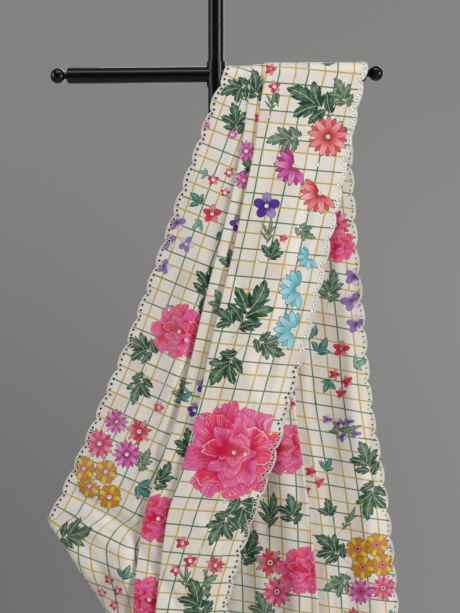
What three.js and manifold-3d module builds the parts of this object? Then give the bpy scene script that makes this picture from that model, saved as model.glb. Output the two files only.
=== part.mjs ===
// A printed silk saree hung over one arm of a black display stand.
// Millimetres, +Z up. The origin is the centre of the stand's base on the floor.
// The arms run along X, the front fall hangs on the -Y side and the back fall on the +Y side.
import * as THREE from "three";
import { mergeVertices } from "three/addons/utils/BufferGeometryUtils.js";
import Module from "manifold-3d";

// The stand
const ARM_HEIGHT = 1500;
const TUBE_RADIUS = 16;
const ARM_REACH = 299;
const POST_ABOVE_ARM = 262;
const HUB_RADIUS = 19;
const HUB_HEIGHT = 50;
const FIT_GAP = 0.3;
const FINIAL = { ball: 15.5, neck: 7, neckLength: 5.5 };
const BASE = { radius: 190, rim: 8, rise: 5 };
const COLLAR = { radius: 27, height: 38, straight: 8, lip: 5, flat: 12 };
const BORE = TUBE_RADIUS + FIT_GAP;
const BEVEL = 2;

// The cloth
const WALL = 1;
const SEAM_GAP = 0.36;
const ROLLED_SEAM_GAP = 1.5;
const FALL = 1370;
const FIRST_LAYER = TUBE_RADIUS + 0.4 + WALL / 2;
const LAYER_STEP_AT_ARM = 1.35;
const LAYER_STEP_HANGING = 6;
const STEP_GROWS_OVER = 300;
const INNER_FOLD_INSET = 10;
const MIDDLE_FOLD_BEHIND = 7;
const SEAM_PAST_FOLD = 8;
const TUCK_CLEAR = 26;
const BORDER = 12;
const SCALLOP_LENGTH = 54;
const SCALLOP_DEPTH = 8;
const SCALLOP_FULLNESS = 0.55;
const SCALLOP_PHASES = [0, 0.12, 0.35, 0.65, 0.88];
const ROW_APART = 5;
const ARM_SEAM_DROP = 6;
const ARM_SEAM_GAP = 0.5;

// Front fall, one row for each drop below the arm's axis.
// left: where the left panel starts, tuck: cloth turned behind it, roll: radius of that turn,
// strip and panel: left folds of the narrow strip and of the right panel, right: right selvedge,
// back: how far the left edge stands behind the strip, turn: how far the right selvedge turns back.
const FRONT_COLUMNS = ["drop", "left", "tuck", "roll", "strip", "panel", "right", "back", "turn"];
const FRONT_FALL = [
  [0, 24, 0, 200, 74, 98, 294, 0, 0],
  [54, 1, 0, 200, 66, 91, 281, 0, 3],
  [152, -34, 0, 200, 52, 78, 261, 2, 12],
  [252, -71, 0, 200, 32, 58, 242, 12, 20],
  [352, -106, 0, 200, 7, 38, 219, 24, 24],
  [440, -138, 0, 200, -16, 17, 200, 32, 26],
  [552, -180, 0, 200, -42, -9, 171, 40, 28],
  [678, -233, 0, 200, -72, -34, 136, 46, 30],
  [772, -274, 0, 200, -104, -60, 111, 50, 34],
  [850, -310, 0, 200, -130, -83, 82, 52, 40],
  [878, -322, 4, 40, -137, -90, 72, 50, 42],
  [905, -317, 42, 16, -142, -94, 64, 44, 43],
  [945, -290, 88, 10, -147, -99, 50, 32, 44],
  [1050, -216, 140, 10, -156, -110, 22, 16, 45],
  [1160, -184, 160, 10, -158, -114, 14, 10, 45],
  [1260, -180, 168, 10, -155, -114, 17, 10, 42],
  [FALL, -184, 170, 10, -151, -112, 22, 10, 40],
];

// Back fall: left selvedge, the same two left folds, the inner right fold, right selvedge,
// and how far the right selvedge curls back.
const BACK_COLUMNS = ["drop", "left", "strip", "panel", "inner", "right", "turn"];
const BACK_FALL = [
  [0, 34, 74, 98, 284, 294, 0],
  [54, 26, 62, 84, 258, 279, 0],
  [110, 16, 48, 68, 236, 268, 1],
  [166, 6, 36, 54, 215, 266, 2],
  [258, -12, 18, 36, 188, 271, 4],
  [352, -22, 6, 24, 170, 277, 6],
  [486, -26, 0, 18, 158, 290, 8],
  [664, -20, 2, 18, 158, 307, 12],
  [806, -8, 10, 24, 176, 330, 16],
  [918, -4, 14, 28, 190, 345, 20],
  [1076, 0, 18, 32, 204, 359, 24],
  [1230, 2, 20, 34, 211, 367, 26],
  [FALL, 4, 22, 36, 215, 371, 26],
];

const LEAN_FORWARD = 66;
const LEAN_BACKWARD = 52;
const FRONT_DROPS = [
  ARM_SEAM_DROP, 28, 54, 100, 152, 252, 352, 440, 552, 678,
  772, 822, 850, 878, 892, 905, 945, 995, 1050, 1160, 1260, FALL,
];
const BACK_DROPS = [ARM_SEAM_DROP, 54, 110, 166, 258, 352, 486, 575, 664, 806, 918, 1076, 1230, FALL];
const ARM_TURN_STEPS = 12;
const NO_ROLL = 200;
const TIGHTEST_ROLL = 8;

// The cloth's left edge passes in front of the hub, then of the post.
const PAST_HUB = { forward: 3.8, from: 20, fades: 62, rises: 24, falls: 34, gone: 170, rest: 1.6 };

// Soft folds that run down the cloth. from: the edge they follow, offset and half: place and half
// width in mm, height: how far they stand out, starts and over: the drop where they begin and the
// length over which they grow.
const FRONT_RIDGES = [
  { from: "strip", offset: -24, half: 18, height: 7, starts: 380, over: 260 },
  { from: "strip", offset: -62, half: 26, height: -6, starts: 300, over: 260 },
  { from: "left", offset: 92, half: 60, height: 7, starts: 150, over: 260 },
  { from: "panel", offset: 78, half: 62, height: 5, starts: 120, over: 260 },
];
const BACK_RIDGES = [
  { from: "inner", offset: -44, half: 34, height: -7, starts: 260, over: 300 },
  { from: "inner", offset: 62, half: 60, height: 7, starts: 300, over: 300 },
];
const BACK_CURL = 70;
const RIDGED = { from: 66, to: 6, apart: 6 };
const BELLY = { left: 96, drop: 985, halfWidth: 92, halfDrop: 80, height: 16 };

const SILK = new THREE.MeshStandardMaterial({ name: "silk", color: 0xe9e2d0, roughness: 0.45 });
const TRIM = new THREE.MeshStandardMaterial({ name: "border", color: 0xf1ede2, roughness: 0.6 });
const BLACK = new THREE.MeshStandardMaterial({ name: "enamel", color: 0x0c0c0e, roughness: 0.25 });

const clamp01 = (t) => Math.min(1, Math.max(0, t));
const ease = (t) => clamp01(t) ** 2 * (3 - 2 * clamp01(t));
const mix = (a, b, t) => a + (b - a) * t;

/** Values of a fall's table at one drop, joined by smooth curves through its rows. */
function rowAt(table, columns, drop) {
  let i = 0;
  while (i < table.length - 2 && table[i + 1][0] < drop) i += 1;
  const [low, high] = [table[i], table[i + 1]];
  const before = table[Math.max(i - 1, 0)];
  const after = table[Math.min(i + 2, table.length - 1)];
  const span = high[0] - low[0];
  const t = clamp01((drop - low[0]) / span);
  const row = { drop };
  for (let c = 1; c < columns.length; c += 1) {
    const slopeLow = (high[c] - before[c]) / (high[0] - before[0]);
    const slopeHigh = (after[c] - low[c]) / (after[0] - low[0]);
    row[columns[c]] =
      (2 * t ** 3 - 3 * t ** 2 + 1) * low[c] +
      (t ** 3 - 2 * t ** 2 + t) * span * slopeLow +
      (3 * t ** 2 - 2 * t ** 3) * high[c] +
      (t ** 3 - t ** 2) * span * slopeHigh;
  }
  row.roll = Math.max(row.roll ?? NO_ROLL, TIGHTEST_ROLL);
  row.tuck = Math.max(row.tuck ?? 0, 0);
  return row;
}

/** A smooth bump of height 1 that reaches half to each side of its centre. */
function ridge(x, centre, half) {
  const away = Math.abs(x - centre) / half;
  return away < 1 ? Math.cos((away * Math.PI) / 2) ** 2 : 0;
}

/** How far the soft folds of one fall stand out at x. */
function ridgesAt(ridges, x, row) {
  return ridges.reduce((sum, r) => {
    const grown = ease((row.drop - r.starts) / r.over);
    return sum + r.height * grown * ridge(x, row[r.from] + r.offset, r.half);
  }, 0);
}

/** How far the cloth stands forward where it passes the hub and the post. */
function pastHub(x, drop) {
  const { forward, rest, from, fades, rises, falls, gone } = PAST_HUB;
  const rising = forward * ease(drop / rises);
  const falling = mix(forward, rest, ease((drop - falls) / (gone - falls)));
  return Math.min(rising, falling) * (1 - ease((x - from) / (fades - from)));
}

/** How far all the layers of the front fall stand forward at x, apart from their own order. */
function frontForm(x, row) {
  const across = clamp01((x - row.panel) / (row.right - row.panel));
  const fromLeft = clamp01((row.strip - x) / (row.strip - row.left + 1));
  const hang = LEAN_FORWARD * ease(row.drop / FALL) - row.back * fromLeft ** 1.5 - row.turn * across ** 2;
  const belly = ridge(row.drop, BELLY.drop, BELLY.halfDrop) * ridge(x, row.left + BELLY.left, BELLY.halfWidth);
  return hang + pastHub(x, row.drop) + ridgesAt(FRONT_RIDGES, x, row) + BELLY.height * belly;
}

/** How far all the layers of the back fall stand back at x. */
function backForm(x, row) {
  const edge = clamp01((x - row.right + BACK_CURL) / BACK_CURL);
  return LEAN_BACKWARD * ease(row.drop / FALL) + row.turn * edge ** 2 + ridgesAt(BACK_RIDGES, x, row);
}

/**
 * The cloth's width at one drop, seen from above: five layers, folded to and fro, that start at the
 * left selvedge. Returns its length, named stations and at(s), the point s mm along it.
 */
function foldedWidth(row) {
  const step = mix(LAYER_STEP_AT_ARM, LAYER_STEP_HANGING, ease(row.drop / STEP_GROWS_OVER));
  const r = step / 2;
  const inner = row.inner ?? row.right - INNER_FOLD_INSET;
  const middle = inner - MIDDLE_FOLD_BEHIND;
  const pieces = [];
  let s = 0;
  const add = (length, point) => {
    pieces.push({ start: s, length, point });
    s += length;
    return s;
  };
  const run = (from, to, depth) => {
    const along = Math.sign(to - from);
    return add(Math.abs(to - from), (q) => ({ x: from + along * q, depth }));
  };
  const turn = (x, depth, side) => {
    const around = (q) => ({ x: x + side * r * Math.sin(q / r), depth: depth + r * (1 - Math.cos(q / r)) });
    return add(Math.PI * r, around);
  };

  const behind = row.tuck - Math.PI * row.roll;
  if (behind > 0) add(behind, (q) => ({ x: row.left + behind - q, depth: -2 * row.roll }));
  const rolled = Math.min(row.tuck, Math.PI * row.roll);
  if (rolled > 0) {
    add(rolled, (q) => {
      const angle = (rolled - q) / row.roll;
      return { x: row.left - row.roll * Math.sin(angle), depth: -row.roll * (1 - Math.cos(angle)) };
    });
  }
  const stations = {};
  stations.leftEnd = run(row.left, inner - r, 0);
  stations.innerTurn = turn(inner - r, 0, 1);
  stations.secondEnd = run(inner - r, row.strip + r, step);
  stations.stripTurn = turn(row.strip + r, step, -1);
  stations.thirdEnd = run(row.strip + r, middle - r, 2 * step);
  stations.middleTurn = turn(middle - r, 2 * step, 1);
  stations.fourthEnd = run(middle - r, row.panel + r, 3 * step);
  stations.panelTurn = turn(row.panel + r, 3 * step, -1);
  stations.selvedge = run(row.panel + r, row.right, 4 * step);
  // The station on the left panel that faces x, and the one where its tucked part has come round.
  stations.facing = (x) => stations.leftEnd - (inner - r - x);
  stations.roundTuck = Math.hypot(row.tuck, TUCK_CLEAR);

  // A scallop reaches past its selvedge on the line or roll of the stretch that it starts from.
  const at = (q) => {
    const piece = pieces.findLast((next) => q >= next.start) ?? pieces[0];
    return piece.point(q - piece.start);
  };
  return { stations, at };
}

/** A point of the cloth on the front (side -1) or back (side 1) fall, from its row and section. */
function hangingPoint(side, row, flat) {
  const form = side < 0 ? frontForm(flat.x, row) : backForm(flat.x, row);
  return new THREE.Vector3(flat.x, side * (FIRST_LAYER + flat.depth + form), ARM_HEIGHT - row.drop);
}

/** A point of the cloth where it turns over the arm, angle 0 at the front and pi at the back. */
function overArmPoint(flat, angle) {
  const radius = FIRST_LAYER + flat.depth;
  return new THREE.Vector3(flat.x, -radius * Math.cos(angle), ARM_HEIGHT + radius * Math.sin(angle));
}

/** A closed cloth wall through a grid of mid points, columns across and rows down. */
function clothWall(grid) {
  const across = grid[0].length - 1;
  const down = grid.length - 1;
  const normalAt = (i, j) => {
    const u = grid[j][Math.min(i + 1, across)].clone().sub(grid[j][Math.max(i - 1, 0)]);
    const v = grid[Math.min(j + 1, down)][i].clone().sub(grid[Math.max(j - 1, 0)][i]);
    return v.cross(u).normalize();
  };
  const geometry = new THREE.BoxGeometry(across, down, 1, across, down, 1);
  const place = geometry.attributes.position;
  for (let n = 0; n < place.count; n += 1) {
    const i = Math.round(place.getX(n) + across / 2);
    const j = Math.round(down / 2 - place.getY(n));
    const point = grid[j][i].clone().addScaledVector(normalAt(i, j), place.getZ(n) * WALL);
    place.setXYZ(n, point.x, point.y, point.z);
  }

  // The back skin's cells are split along the same diagonals as the front's, so that a twisted cell
  // stays as thick as the wall.
  const cells = geometry.index.array;
  const back = geometry.groups.at(-1);
  for (let n = back.start; n < back.start + back.count; n += 6) {
    const [a, b, d, , c] = cells.slice(n, n + 6);
    cells.set([a, b, c, a, c, d], n);
  }
  return geometry;
}

/** Stations across one row: plan lists [from, to, steps]. */
function spread(plan) {
  const found = [plan[0][0]];
  for (const [from, to, steps] of plan) {
    for (let n = 1; n <= steps; n += 1) found.push(mix(from, to, n / steps));
  }
  return found;
}

const PANEL_PLANS = {
  left: (s, row) => {
    const nearStrip = Math.max(s.facing(row.strip - RIDGED.from), s.roundTuck + RIDGED.apart);
    const atStrip = Math.max(s.facing(row.strip - RIDGED.to), nearStrip + RIDGED.apart);
    const edge = BORDER + (row.tuck > 0 ? ROLLED_SEAM_GAP : SEAM_GAP);
    return [
      [edge, s.roundTuck, 3],
      [s.roundTuck, nearStrip, 3],
      [nearStrip, atStrip, 5],
      [atStrip, s.leftEnd, 4],
      [s.leftEnd, s.innerTurn, 3],
      [s.innerTurn, s.innerTurn + SEAM_PAST_FOLD, 1],
    ];
  },
  backInner: (s) => [
    [BORDER + SEAM_GAP, s.leftEnd, 9],
    [s.leftEnd, s.innerTurn, 3],
    [s.innerTurn, s.innerTurn + SEAM_PAST_FOLD, 1],
  ],
  pleats: (s) => [
    [s.innerTurn + SEAM_PAST_FOLD + SEAM_GAP, s.secondEnd, 4],
    [s.secondEnd, s.stripTurn, 3],
    [s.stripTurn, s.thirdEnd, 6],
    [s.thirdEnd, s.middleTurn, 3],
    [s.middleTurn, s.fourthEnd - SEAM_PAST_FOLD - SEAM_GAP, 4],
  ],
  right: (s) => [
    [s.fourthEnd - SEAM_PAST_FOLD, s.fourthEnd, 1],
    [s.fourthEnd, s.panelTurn, 3],
    [s.panelTurn, s.selvedge - BORDER - SEAM_GAP, 9],
  ],
  whole: (s) => [
    [BORDER + SEAM_GAP, s.leftEnd, 5],
    [s.leftEnd, s.innerTurn, 3],
    [s.innerTurn, s.secondEnd, 3],
    [s.secondEnd, s.stripTurn, 3],
    [s.stripTurn, s.thirdEnd, 3],
    [s.thirdEnd, s.middleTurn, 3],
    [s.middleTurn, s.fourthEnd, 3],
    [s.fourthEnd, s.panelTurn, 3],
    [s.panelTurn, s.selvedge - BORDER - SEAM_GAP, 5],
  ],
};

/** The row of the front (side -1) or back (side 1) fall at one drop. */
function rowOf(side, drop) {
  return side < 0 ? rowAt(FRONT_FALL, FRONT_COLUMNS, drop) : rowAt(BACK_FALL, BACK_COLUMNS, drop);
}

/** One panel of a fall, from its plan of stations. */
function fallPanel(name, side, plan) {
  const drops = side < 0 ? FRONT_DROPS : BACK_DROPS;
  const grid = drops.map((drop) => {
    const { row, width, pointAt } = fallSection(side, drop);
    return spread(plan(width.stations, row)).map(pointAt);
  });
  if (side > 0) grid.forEach((points) => points.reverse());
  return named(name, clothWall(grid), SILK);
}

/** The cloth's section at a turn over the arm, angle 0 at the front and pi at the back. */
function armSection(angle) {
  const [front, back] = [rowOf(-1, 0), rowOf(1, 0)];
  const row = { drop: 0, tuck: 0, roll: front.roll };
  for (const name of ["left", "strip", "panel", "right"]) {
    row[name] = mix(front[name], back[name], angle / Math.PI);
  }
  const width = foldedWidth(row);
  return { width, pointAt: (s) => overArmPoint(width.at(s), angle) };
}

/** The cloth's section on a fall. */
function fallSection(side, drop) {
  const row = rowOf(side, drop);
  const width = foldedWidth(row);
  return { row, width, pointAt: (s) => hangingPoint(side, row, width.at(s)) };
}

/** All five layers where they turn over the arm. */
function overArm() {
  const drop = ARM_SEAM_DROP - ARM_SEAM_GAP;
  const sections = [fallSection(1, drop)];
  for (let n = ARM_TURN_STEPS; n >= 0; n -= 1) sections.push(armSection((Math.PI * n) / ARM_TURN_STEPS));
  sections.push(fallSection(-1, drop));
  const grid = sections.map(({ width, pointAt }) => spread(PANEL_PLANS.whole(width.stations)).map(pointAt));
  return named("saree_over_arm", clothWall(grid), SILK);
}

/** A selvedge's scalloped border, from the top of the arm down to the hem of one fall. */
function scallopedBorder(name, side, isLeft) {
  const sections = [];
  for (let n = ARM_TURN_STEPS / 2; n >= 0; n -= 1) {
    const turn = (Math.PI * n) / ARM_TURN_STEPS;
    sections.push(armSection(side < 0 ? turn : Math.PI - turn));
  }
  for (const drop of side < 0 ? FRONT_DROPS : BACK_DROPS) sections.push(fallSection(side, drop));
  const inFrom = ({ width, pointAt }, inward) => pointAt(isLeft ? inward : width.stations.selvedge - inward);

  // The selvedge's own length, so that every scallop is as long as the next.
  const along = [0];
  sections.slice(1).forEach((section, n) => {
    along.push(along[n] + inFrom(section, 0).distanceTo(inFrom(sections[n], 0)));
  });
  const length = along.at(-1);
  const count = Math.round(length / SCALLOP_LENGTH);
  const marks = [...along];
  for (let n = 0; n < count; n += 1) {
    for (const phase of SCALLOP_PHASES) {
      const place = ((n + phase) * length) / count;
      if (along.every((row) => Math.abs(row - place) > ROW_APART)) marks.push(place);
    }
  }
  marks.sort((a, b) => a - b);
  marks[0] = SEAM_GAP / 2;

  const grid = marks.map((place) => {
    const i = Math.min(along.length - 2, along.findLastIndex((row) => row <= place));
    const t = (place - along[i]) / (along[i + 1] - along[i]);
    const at = (inward) => inFrom(sections[i], inward).lerp(inFrom(sections[i + 1], inward), t);
    const phase = ((place * count) / length) % 1;
    const outward = SCALLOP_DEPTH * Math.sin(Math.PI * phase) ** SCALLOP_FULLNESS;
    return isLeft ? [at(-outward), at(BORDER)] : [at(BORDER), at(-outward)];
  });
  if (side > 0) grid.forEach((points) => points.reverse());
  return named(name, clothWall(grid), TRIM);
}

const wasm = await Module();
wasm.setup();

function named(name, geometry, material) {
  const mesh = new THREE.Mesh(geometry, material);
  mesh.name = name;
  return mesh;
}

/** A closed geometry as a solid that can be cut. */
function solidOf(geometry) {
  const plain = geometry.clone();
  plain.deleteAttribute("normal");
  plain.deleteAttribute("uv");
  const merged = mergeVertices(plain, 1e-4);
  const vertProperties = merged.attributes.position.array;
  const triVerts = new Uint32Array(merged.index.array);
  return new wasm.Manifold(new wasm.Mesh({ numProp: 3, vertProperties, triVerts }));
}

function geometryOf(solid) {
  const mesh = solid.getMesh();
  return new THREE.BufferGeometry()
    .setAttribute("position", new THREE.BufferAttribute(new Float32Array(mesh.vertProperties), 3))
    .setIndex(new THREE.BufferAttribute(mesh.triVerts, 1));
}

/** A turned piece about +Z from its profile of [radius, height] points. */
function turned(profile, segments = 40) {
  const points = profile.map(([r, z]) => new THREE.Vector2(r, z));
  return new THREE.LatheGeometry(points, segments).rotateX(Math.PI / 2);
}

/** Profile of a solid rod with a bevel at its far end. */
function rod(radius, low, high, bevel) {
  const end = bevel > 0 ? [[radius, high - bevel], [radius - bevel, high]] : [[radius, high]];
  return [[0, low], [radius, low], ...end, [0, high]];
}

/** Points of a round arc in a profile, centre and angles in degrees. */
function arc(radius, centreR, centreZ, from, to, steps) {
  return Array.from({ length: steps + 1 }, (_, n) => {
    const angle = THREE.MathUtils.degToRad(mix(from, to, n / steps));
    return [Math.max(0, centreR + radius * Math.cos(angle)), centreZ + radius * Math.sin(angle)];
  });
}

/** A ball end on a short neck, standing on z = 0. */
function finial(name) {
  const neckAngle = THREE.MathUtils.radToDeg(Math.asin(FINIAL.neck / FINIAL.ball)) - 90;
  const centre = FINIAL.neckLength + Math.sqrt(FINIAL.ball ** 2 - FINIAL.neck ** 2);
  const profile = [[0, 0], [FINIAL.neck, 0], ...arc(FINIAL.ball, 0, centre, neckAngle, 90, 9)];
  return named(name, turned(profile, 20), BLACK);
}

/** One arm: a tube that meets the hub's round side. */
function arm(name, side) {
  const tube = turned(rod(TUBE_RADIUS, 0, ARM_REACH, BEVEL));
  tube.rotateY((side * Math.PI) / 2);
  const hubRoom = turned(rod(HUB_RADIUS + FIT_GAP, -HUB_HEIGHT, HUB_HEIGHT, 0), 48);
  const mesh = named(name, geometryOf(solidOf(tube).subtract(solidOf(hubRoom))), BLACK);
  mesh.position.z = ARM_HEIGHT;
  return mesh;
}

/** The round foot and the collar that holds the post. */
function foot() {
  const top = BASE.rim + BASE.rise;
  const plate = [
    [0, 0],
    [BASE.radius - BEVEL, 0],
    [BASE.radius, BEVEL],
    [BASE.radius, BASE.rim - BEVEL],
    [BASE.radius - BEVEL, BASE.rim],
    [COLLAR.radius + COLLAR.flat, top],
    [0, top],
  ];
  const [low, high] = [top + FIT_GAP, top + FIT_GAP + COLLAR.height];
  const collar = [
    [BORE, low],
    [COLLAR.radius, low],
    [COLLAR.radius, low + COLLAR.straight],
    [BORE + COLLAR.lip, high - COLLAR.lip],
    [BORE + COLLAR.lip - BEVEL, high],
    [BORE, high],
    [BORE, low],
  ];
  return [named("base_plate", turned(plate, 56), BLACK), named("base_collar", turned(collar, 32), BLACK)];
}

/** The sleeve that joins the post and the arms. */
function hub() {
  const [low, high] = [ARM_HEIGHT - HUB_HEIGHT / 2, ARM_HEIGHT + HUB_HEIGHT / 2];
  const sleeve = [[BORE, low], [HUB_RADIUS, low], [HUB_RADIUS, high], [BORE, high], [BORE, low]];
  return named("cross_hub", turned(sleeve, 40), BLACK);
}

/** A finial set on the end of a tube, turned about Y from the upright. */
function finialAt(name, x, z, turn) {
  const ball = finial(name);
  ball.rotation.y = turn;
  ball.position.set(x, 0, z);
  return ball;
}

function stand() {
  const postFoot = BASE.rim + BASE.rise + FIT_GAP;
  const postTop = ARM_HEIGHT + POST_ABOVE_ARM;
  const armEnd = ARM_REACH + FIT_GAP;
  return new THREE.Group().add(
    ...foot(),
    named("post", turned(rod(TUBE_RADIUS, postFoot, postTop, BEVEL)), BLACK),
    hub(),
    arm("left_arm", -1),
    arm("right_arm", 1),
    finialAt("left_finial", -armEnd, ARM_HEIGHT, -Math.PI / 2),
    finialAt("right_finial", armEnd, ARM_HEIGHT, Math.PI / 2),
    finialAt("top_finial", 0, postTop + FIT_GAP, 0),
  );
}

function saree() {
  return new THREE.Group().add(
    fallPanel("saree_front_left_panel", -1, PANEL_PLANS.left),
    fallPanel("saree_front_pleats", -1, PANEL_PLANS.pleats),
    fallPanel("saree_front_right_panel", -1, PANEL_PLANS.right),
    overArm(),
    fallPanel("saree_back_inner_panel", 1, PANEL_PLANS.backInner),
    fallPanel("saree_back_pleats", 1, PANEL_PLANS.pleats),
    fallPanel("saree_back_outer_panel", 1, PANEL_PLANS.right),
    scallopedBorder("border_front_left", -1, true),
    scallopedBorder("border_front_right", -1, false),
    scallopedBorder("border_back_left", 1, true),
    scallopedBorder("border_back_right", 1, false),
  );
}

const part = new THREE.Group();
part.add(stand(), saree());

export default part;
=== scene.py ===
"""Dresses a printed silk saree that hangs, folded lengthwise, over an arm of a black stand.

Lengths are millimetres until a mesh is written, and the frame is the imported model's: the arms run
along X, the front fall hangs on the -Y side, the back fall on the +Y side, and Z is up.
"""
from __future__ import annotations

import logging
import math
from dataclasses import dataclass
from enum import Enum
from typing import Callable, NamedTuple, Sequence

import bmesh
import bpy
import numpy as np
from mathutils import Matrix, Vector

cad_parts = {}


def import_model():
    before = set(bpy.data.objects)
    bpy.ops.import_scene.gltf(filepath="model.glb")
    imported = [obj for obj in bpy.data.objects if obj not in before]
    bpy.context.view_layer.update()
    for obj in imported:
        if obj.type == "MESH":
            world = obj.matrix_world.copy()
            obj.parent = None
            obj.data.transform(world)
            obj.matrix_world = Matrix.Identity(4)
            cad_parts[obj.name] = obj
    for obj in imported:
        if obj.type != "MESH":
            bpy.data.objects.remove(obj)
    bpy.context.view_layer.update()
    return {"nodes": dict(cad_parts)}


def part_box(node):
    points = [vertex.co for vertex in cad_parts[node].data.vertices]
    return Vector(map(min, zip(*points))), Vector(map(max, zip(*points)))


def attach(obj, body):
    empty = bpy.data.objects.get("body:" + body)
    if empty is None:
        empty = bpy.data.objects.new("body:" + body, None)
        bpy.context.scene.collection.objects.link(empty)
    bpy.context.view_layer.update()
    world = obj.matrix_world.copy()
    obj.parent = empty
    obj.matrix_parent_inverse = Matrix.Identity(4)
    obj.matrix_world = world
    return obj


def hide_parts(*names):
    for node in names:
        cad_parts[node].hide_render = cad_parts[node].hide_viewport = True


LOG = logging.getLogger("saree")
MM = 0.001

Array = np.ndarray
Socket = bpy.types.NodeSocket


class Side(Enum):
    """The two falls of the cloth, by the sign of their Y."""

    FRONT = -1
    BACK = 1


def ease(t: float) -> float:
    """A smooth step from 0 to 1."""
    t = min(1.0, max(0.0, t))
    return t * t * (3 - 2 * t)


def mix(a: float, b: float, t: float) -> float:
    """The value a share t of the way from a to b."""
    return a + (b - a) * t


def bump(away: Array) -> Array:
    """A smooth bump of height 1 at 0 that reaches 0 at 1 and beyond."""
    return np.where(np.abs(away) < 1, np.cos(np.clip(away, -1, 1) * math.pi / 2) ** 2, 0.0)


@dataclass(frozen=True)
class ClothSizes:
    """The cloth's own sizes, in millimetres."""

    arm_height: float
    tube_radius: float
    fall: float = 1370.0
    clear: float = 0.9
    layer_step_at_arm: float = 1.35
    layer_step_hanging: float = 6.0
    step_grows_over: float = 300.0
    inner_fold_inset: float = 10.0
    middle_fold_behind: float = 7.0
    seam_past_fold: float = 8.0
    border: float = 12.0
    tuck_clear: float = 26.0
    seam_drop: float = 24.0
    scallop: float = 54.0
    scallop_depth: float = 8.0
    scallop_fullness: float = 0.55
    rows_a_scallop: int = 12
    thickness: float = 0.4
    lean_forward: float = 66.0
    lean_backward: float = 52.0
    back_curl: float = 70.0

    @property
    def first_layer(self) -> float:
        """Radius of the innermost layer where it turns over the arm."""
        return self.tube_radius + self.clear

    @property
    def arc(self) -> float:
        """Length of the innermost layer's half turn over the arm."""
        return math.pi * self.first_layer

    @classmethod
    def from_frame(cls) -> "ClothSizes":
        """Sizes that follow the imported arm.

        Returns:
            The cloth's sizes, with the arm's height and radius read from the frame.
        """
        low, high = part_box("right_arm")
        return cls(arm_height=(low[2] + high[2]) / 2 / MM, tube_radius=(high[2] - low[2]) / 2 / MM)


# The radius in which cloth turns behind the left panel: where it doesn't, and the least there is.
NO_ROLL = 200.0
TIGHTEST_ROLL = 8.0

# One row for each drop below the arm. left: where the left panel starts, tuck: cloth turned behind
# it, roll: radius of that turn, strip and panel: left folds of the narrow strip and of the right
# panel, right: right selvedge, back: how far the left edge stands behind the strip, turn: how far
# the right selvedge turns back.
FRONT_COLUMNS = ("drop", "left", "tuck", "roll", "strip", "panel", "right", "back", "turn")
FRONT_ROWS = (
    (0, 24, 0, 200, 74, 98, 294, 0, 0),
    (54, 1, 0, 200, 66, 91, 281, 0, 3),
    (152, -34, 0, 200, 52, 78, 261, 2, 12),
    (252, -71, 0, 200, 32, 58, 242, 12, 20),
    (352, -106, 0, 200, 7, 38, 219, 24, 24),
    (440, -138, 0, 200, -16, 17, 200, 32, 26),
    (552, -180, 0, 200, -42, -9, 171, 40, 28),
    (678, -233, 0, 200, -72, -34, 136, 46, 30),
    (772, -274, 0, 200, -104, -60, 111, 50, 34),
    (850, -310, 0, 200, -130, -83, 82, 52, 40),
    (878, -322, 4, 40, -137, -90, 72, 50, 42),
    (905, -317, 42, 16, -142, -94, 64, 44, 43),
    (945, -290, 88, 10, -147, -99, 50, 32, 44),
    (1050, -216, 140, 10, -156, -110, 22, 16, 45),
    (1160, -184, 160, 10, -158, -114, 14, 10, 45),
    (1260, -180, 168, 10, -155, -114, 17, 10, 42),
    (1370, -184, 170, 10, -151, -112, 22, 10, 40),
)
# left: left selvedge, strip and panel: left folds, inner: right fold of the inner layers, right:
# right selvedge, turn: how far the right selvedge curls back.
BACK_COLUMNS = ("drop", "left", "strip", "panel", "inner", "right", "turn")
BACK_ROWS = (
    (0, 34, 74, 98, 284, 294, 0),
    (54, 26, 62, 84, 258, 279, 0),
    (110, 16, 48, 68, 236, 268, 1),
    (166, 6, 36, 54, 215, 266, 2),
    (258, -12, 18, 36, 188, 271, 4),
    (352, -22, 6, 24, 170, 277, 6),
    (486, -26, 0, 18, 158, 290, 8),
    (664, -20, 2, 18, 158, 307, 12),
    (806, -8, 10, 24, 176, 330, 16),
    (918, -4, 14, 28, 190, 345, 20),
    (1076, 0, 18, 32, 204, 359, 24),
    (1230, 2, 20, 34, 211, 367, 26),
    (1370, 4, 22, 36, 215, 371, 26),
)


class Ridge(NamedTuple):
    """A soft fold that runs down a fall beside one of its edges."""

    edge: str
    offset: float
    half: float
    height: float
    starts: float
    over: float


class Crease(NamedTuple):
    """A short crease between two places on a fall, as x and drop."""

    x0: float
    drop0: float
    x1: float
    drop1: float
    half: float
    height: float


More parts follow.
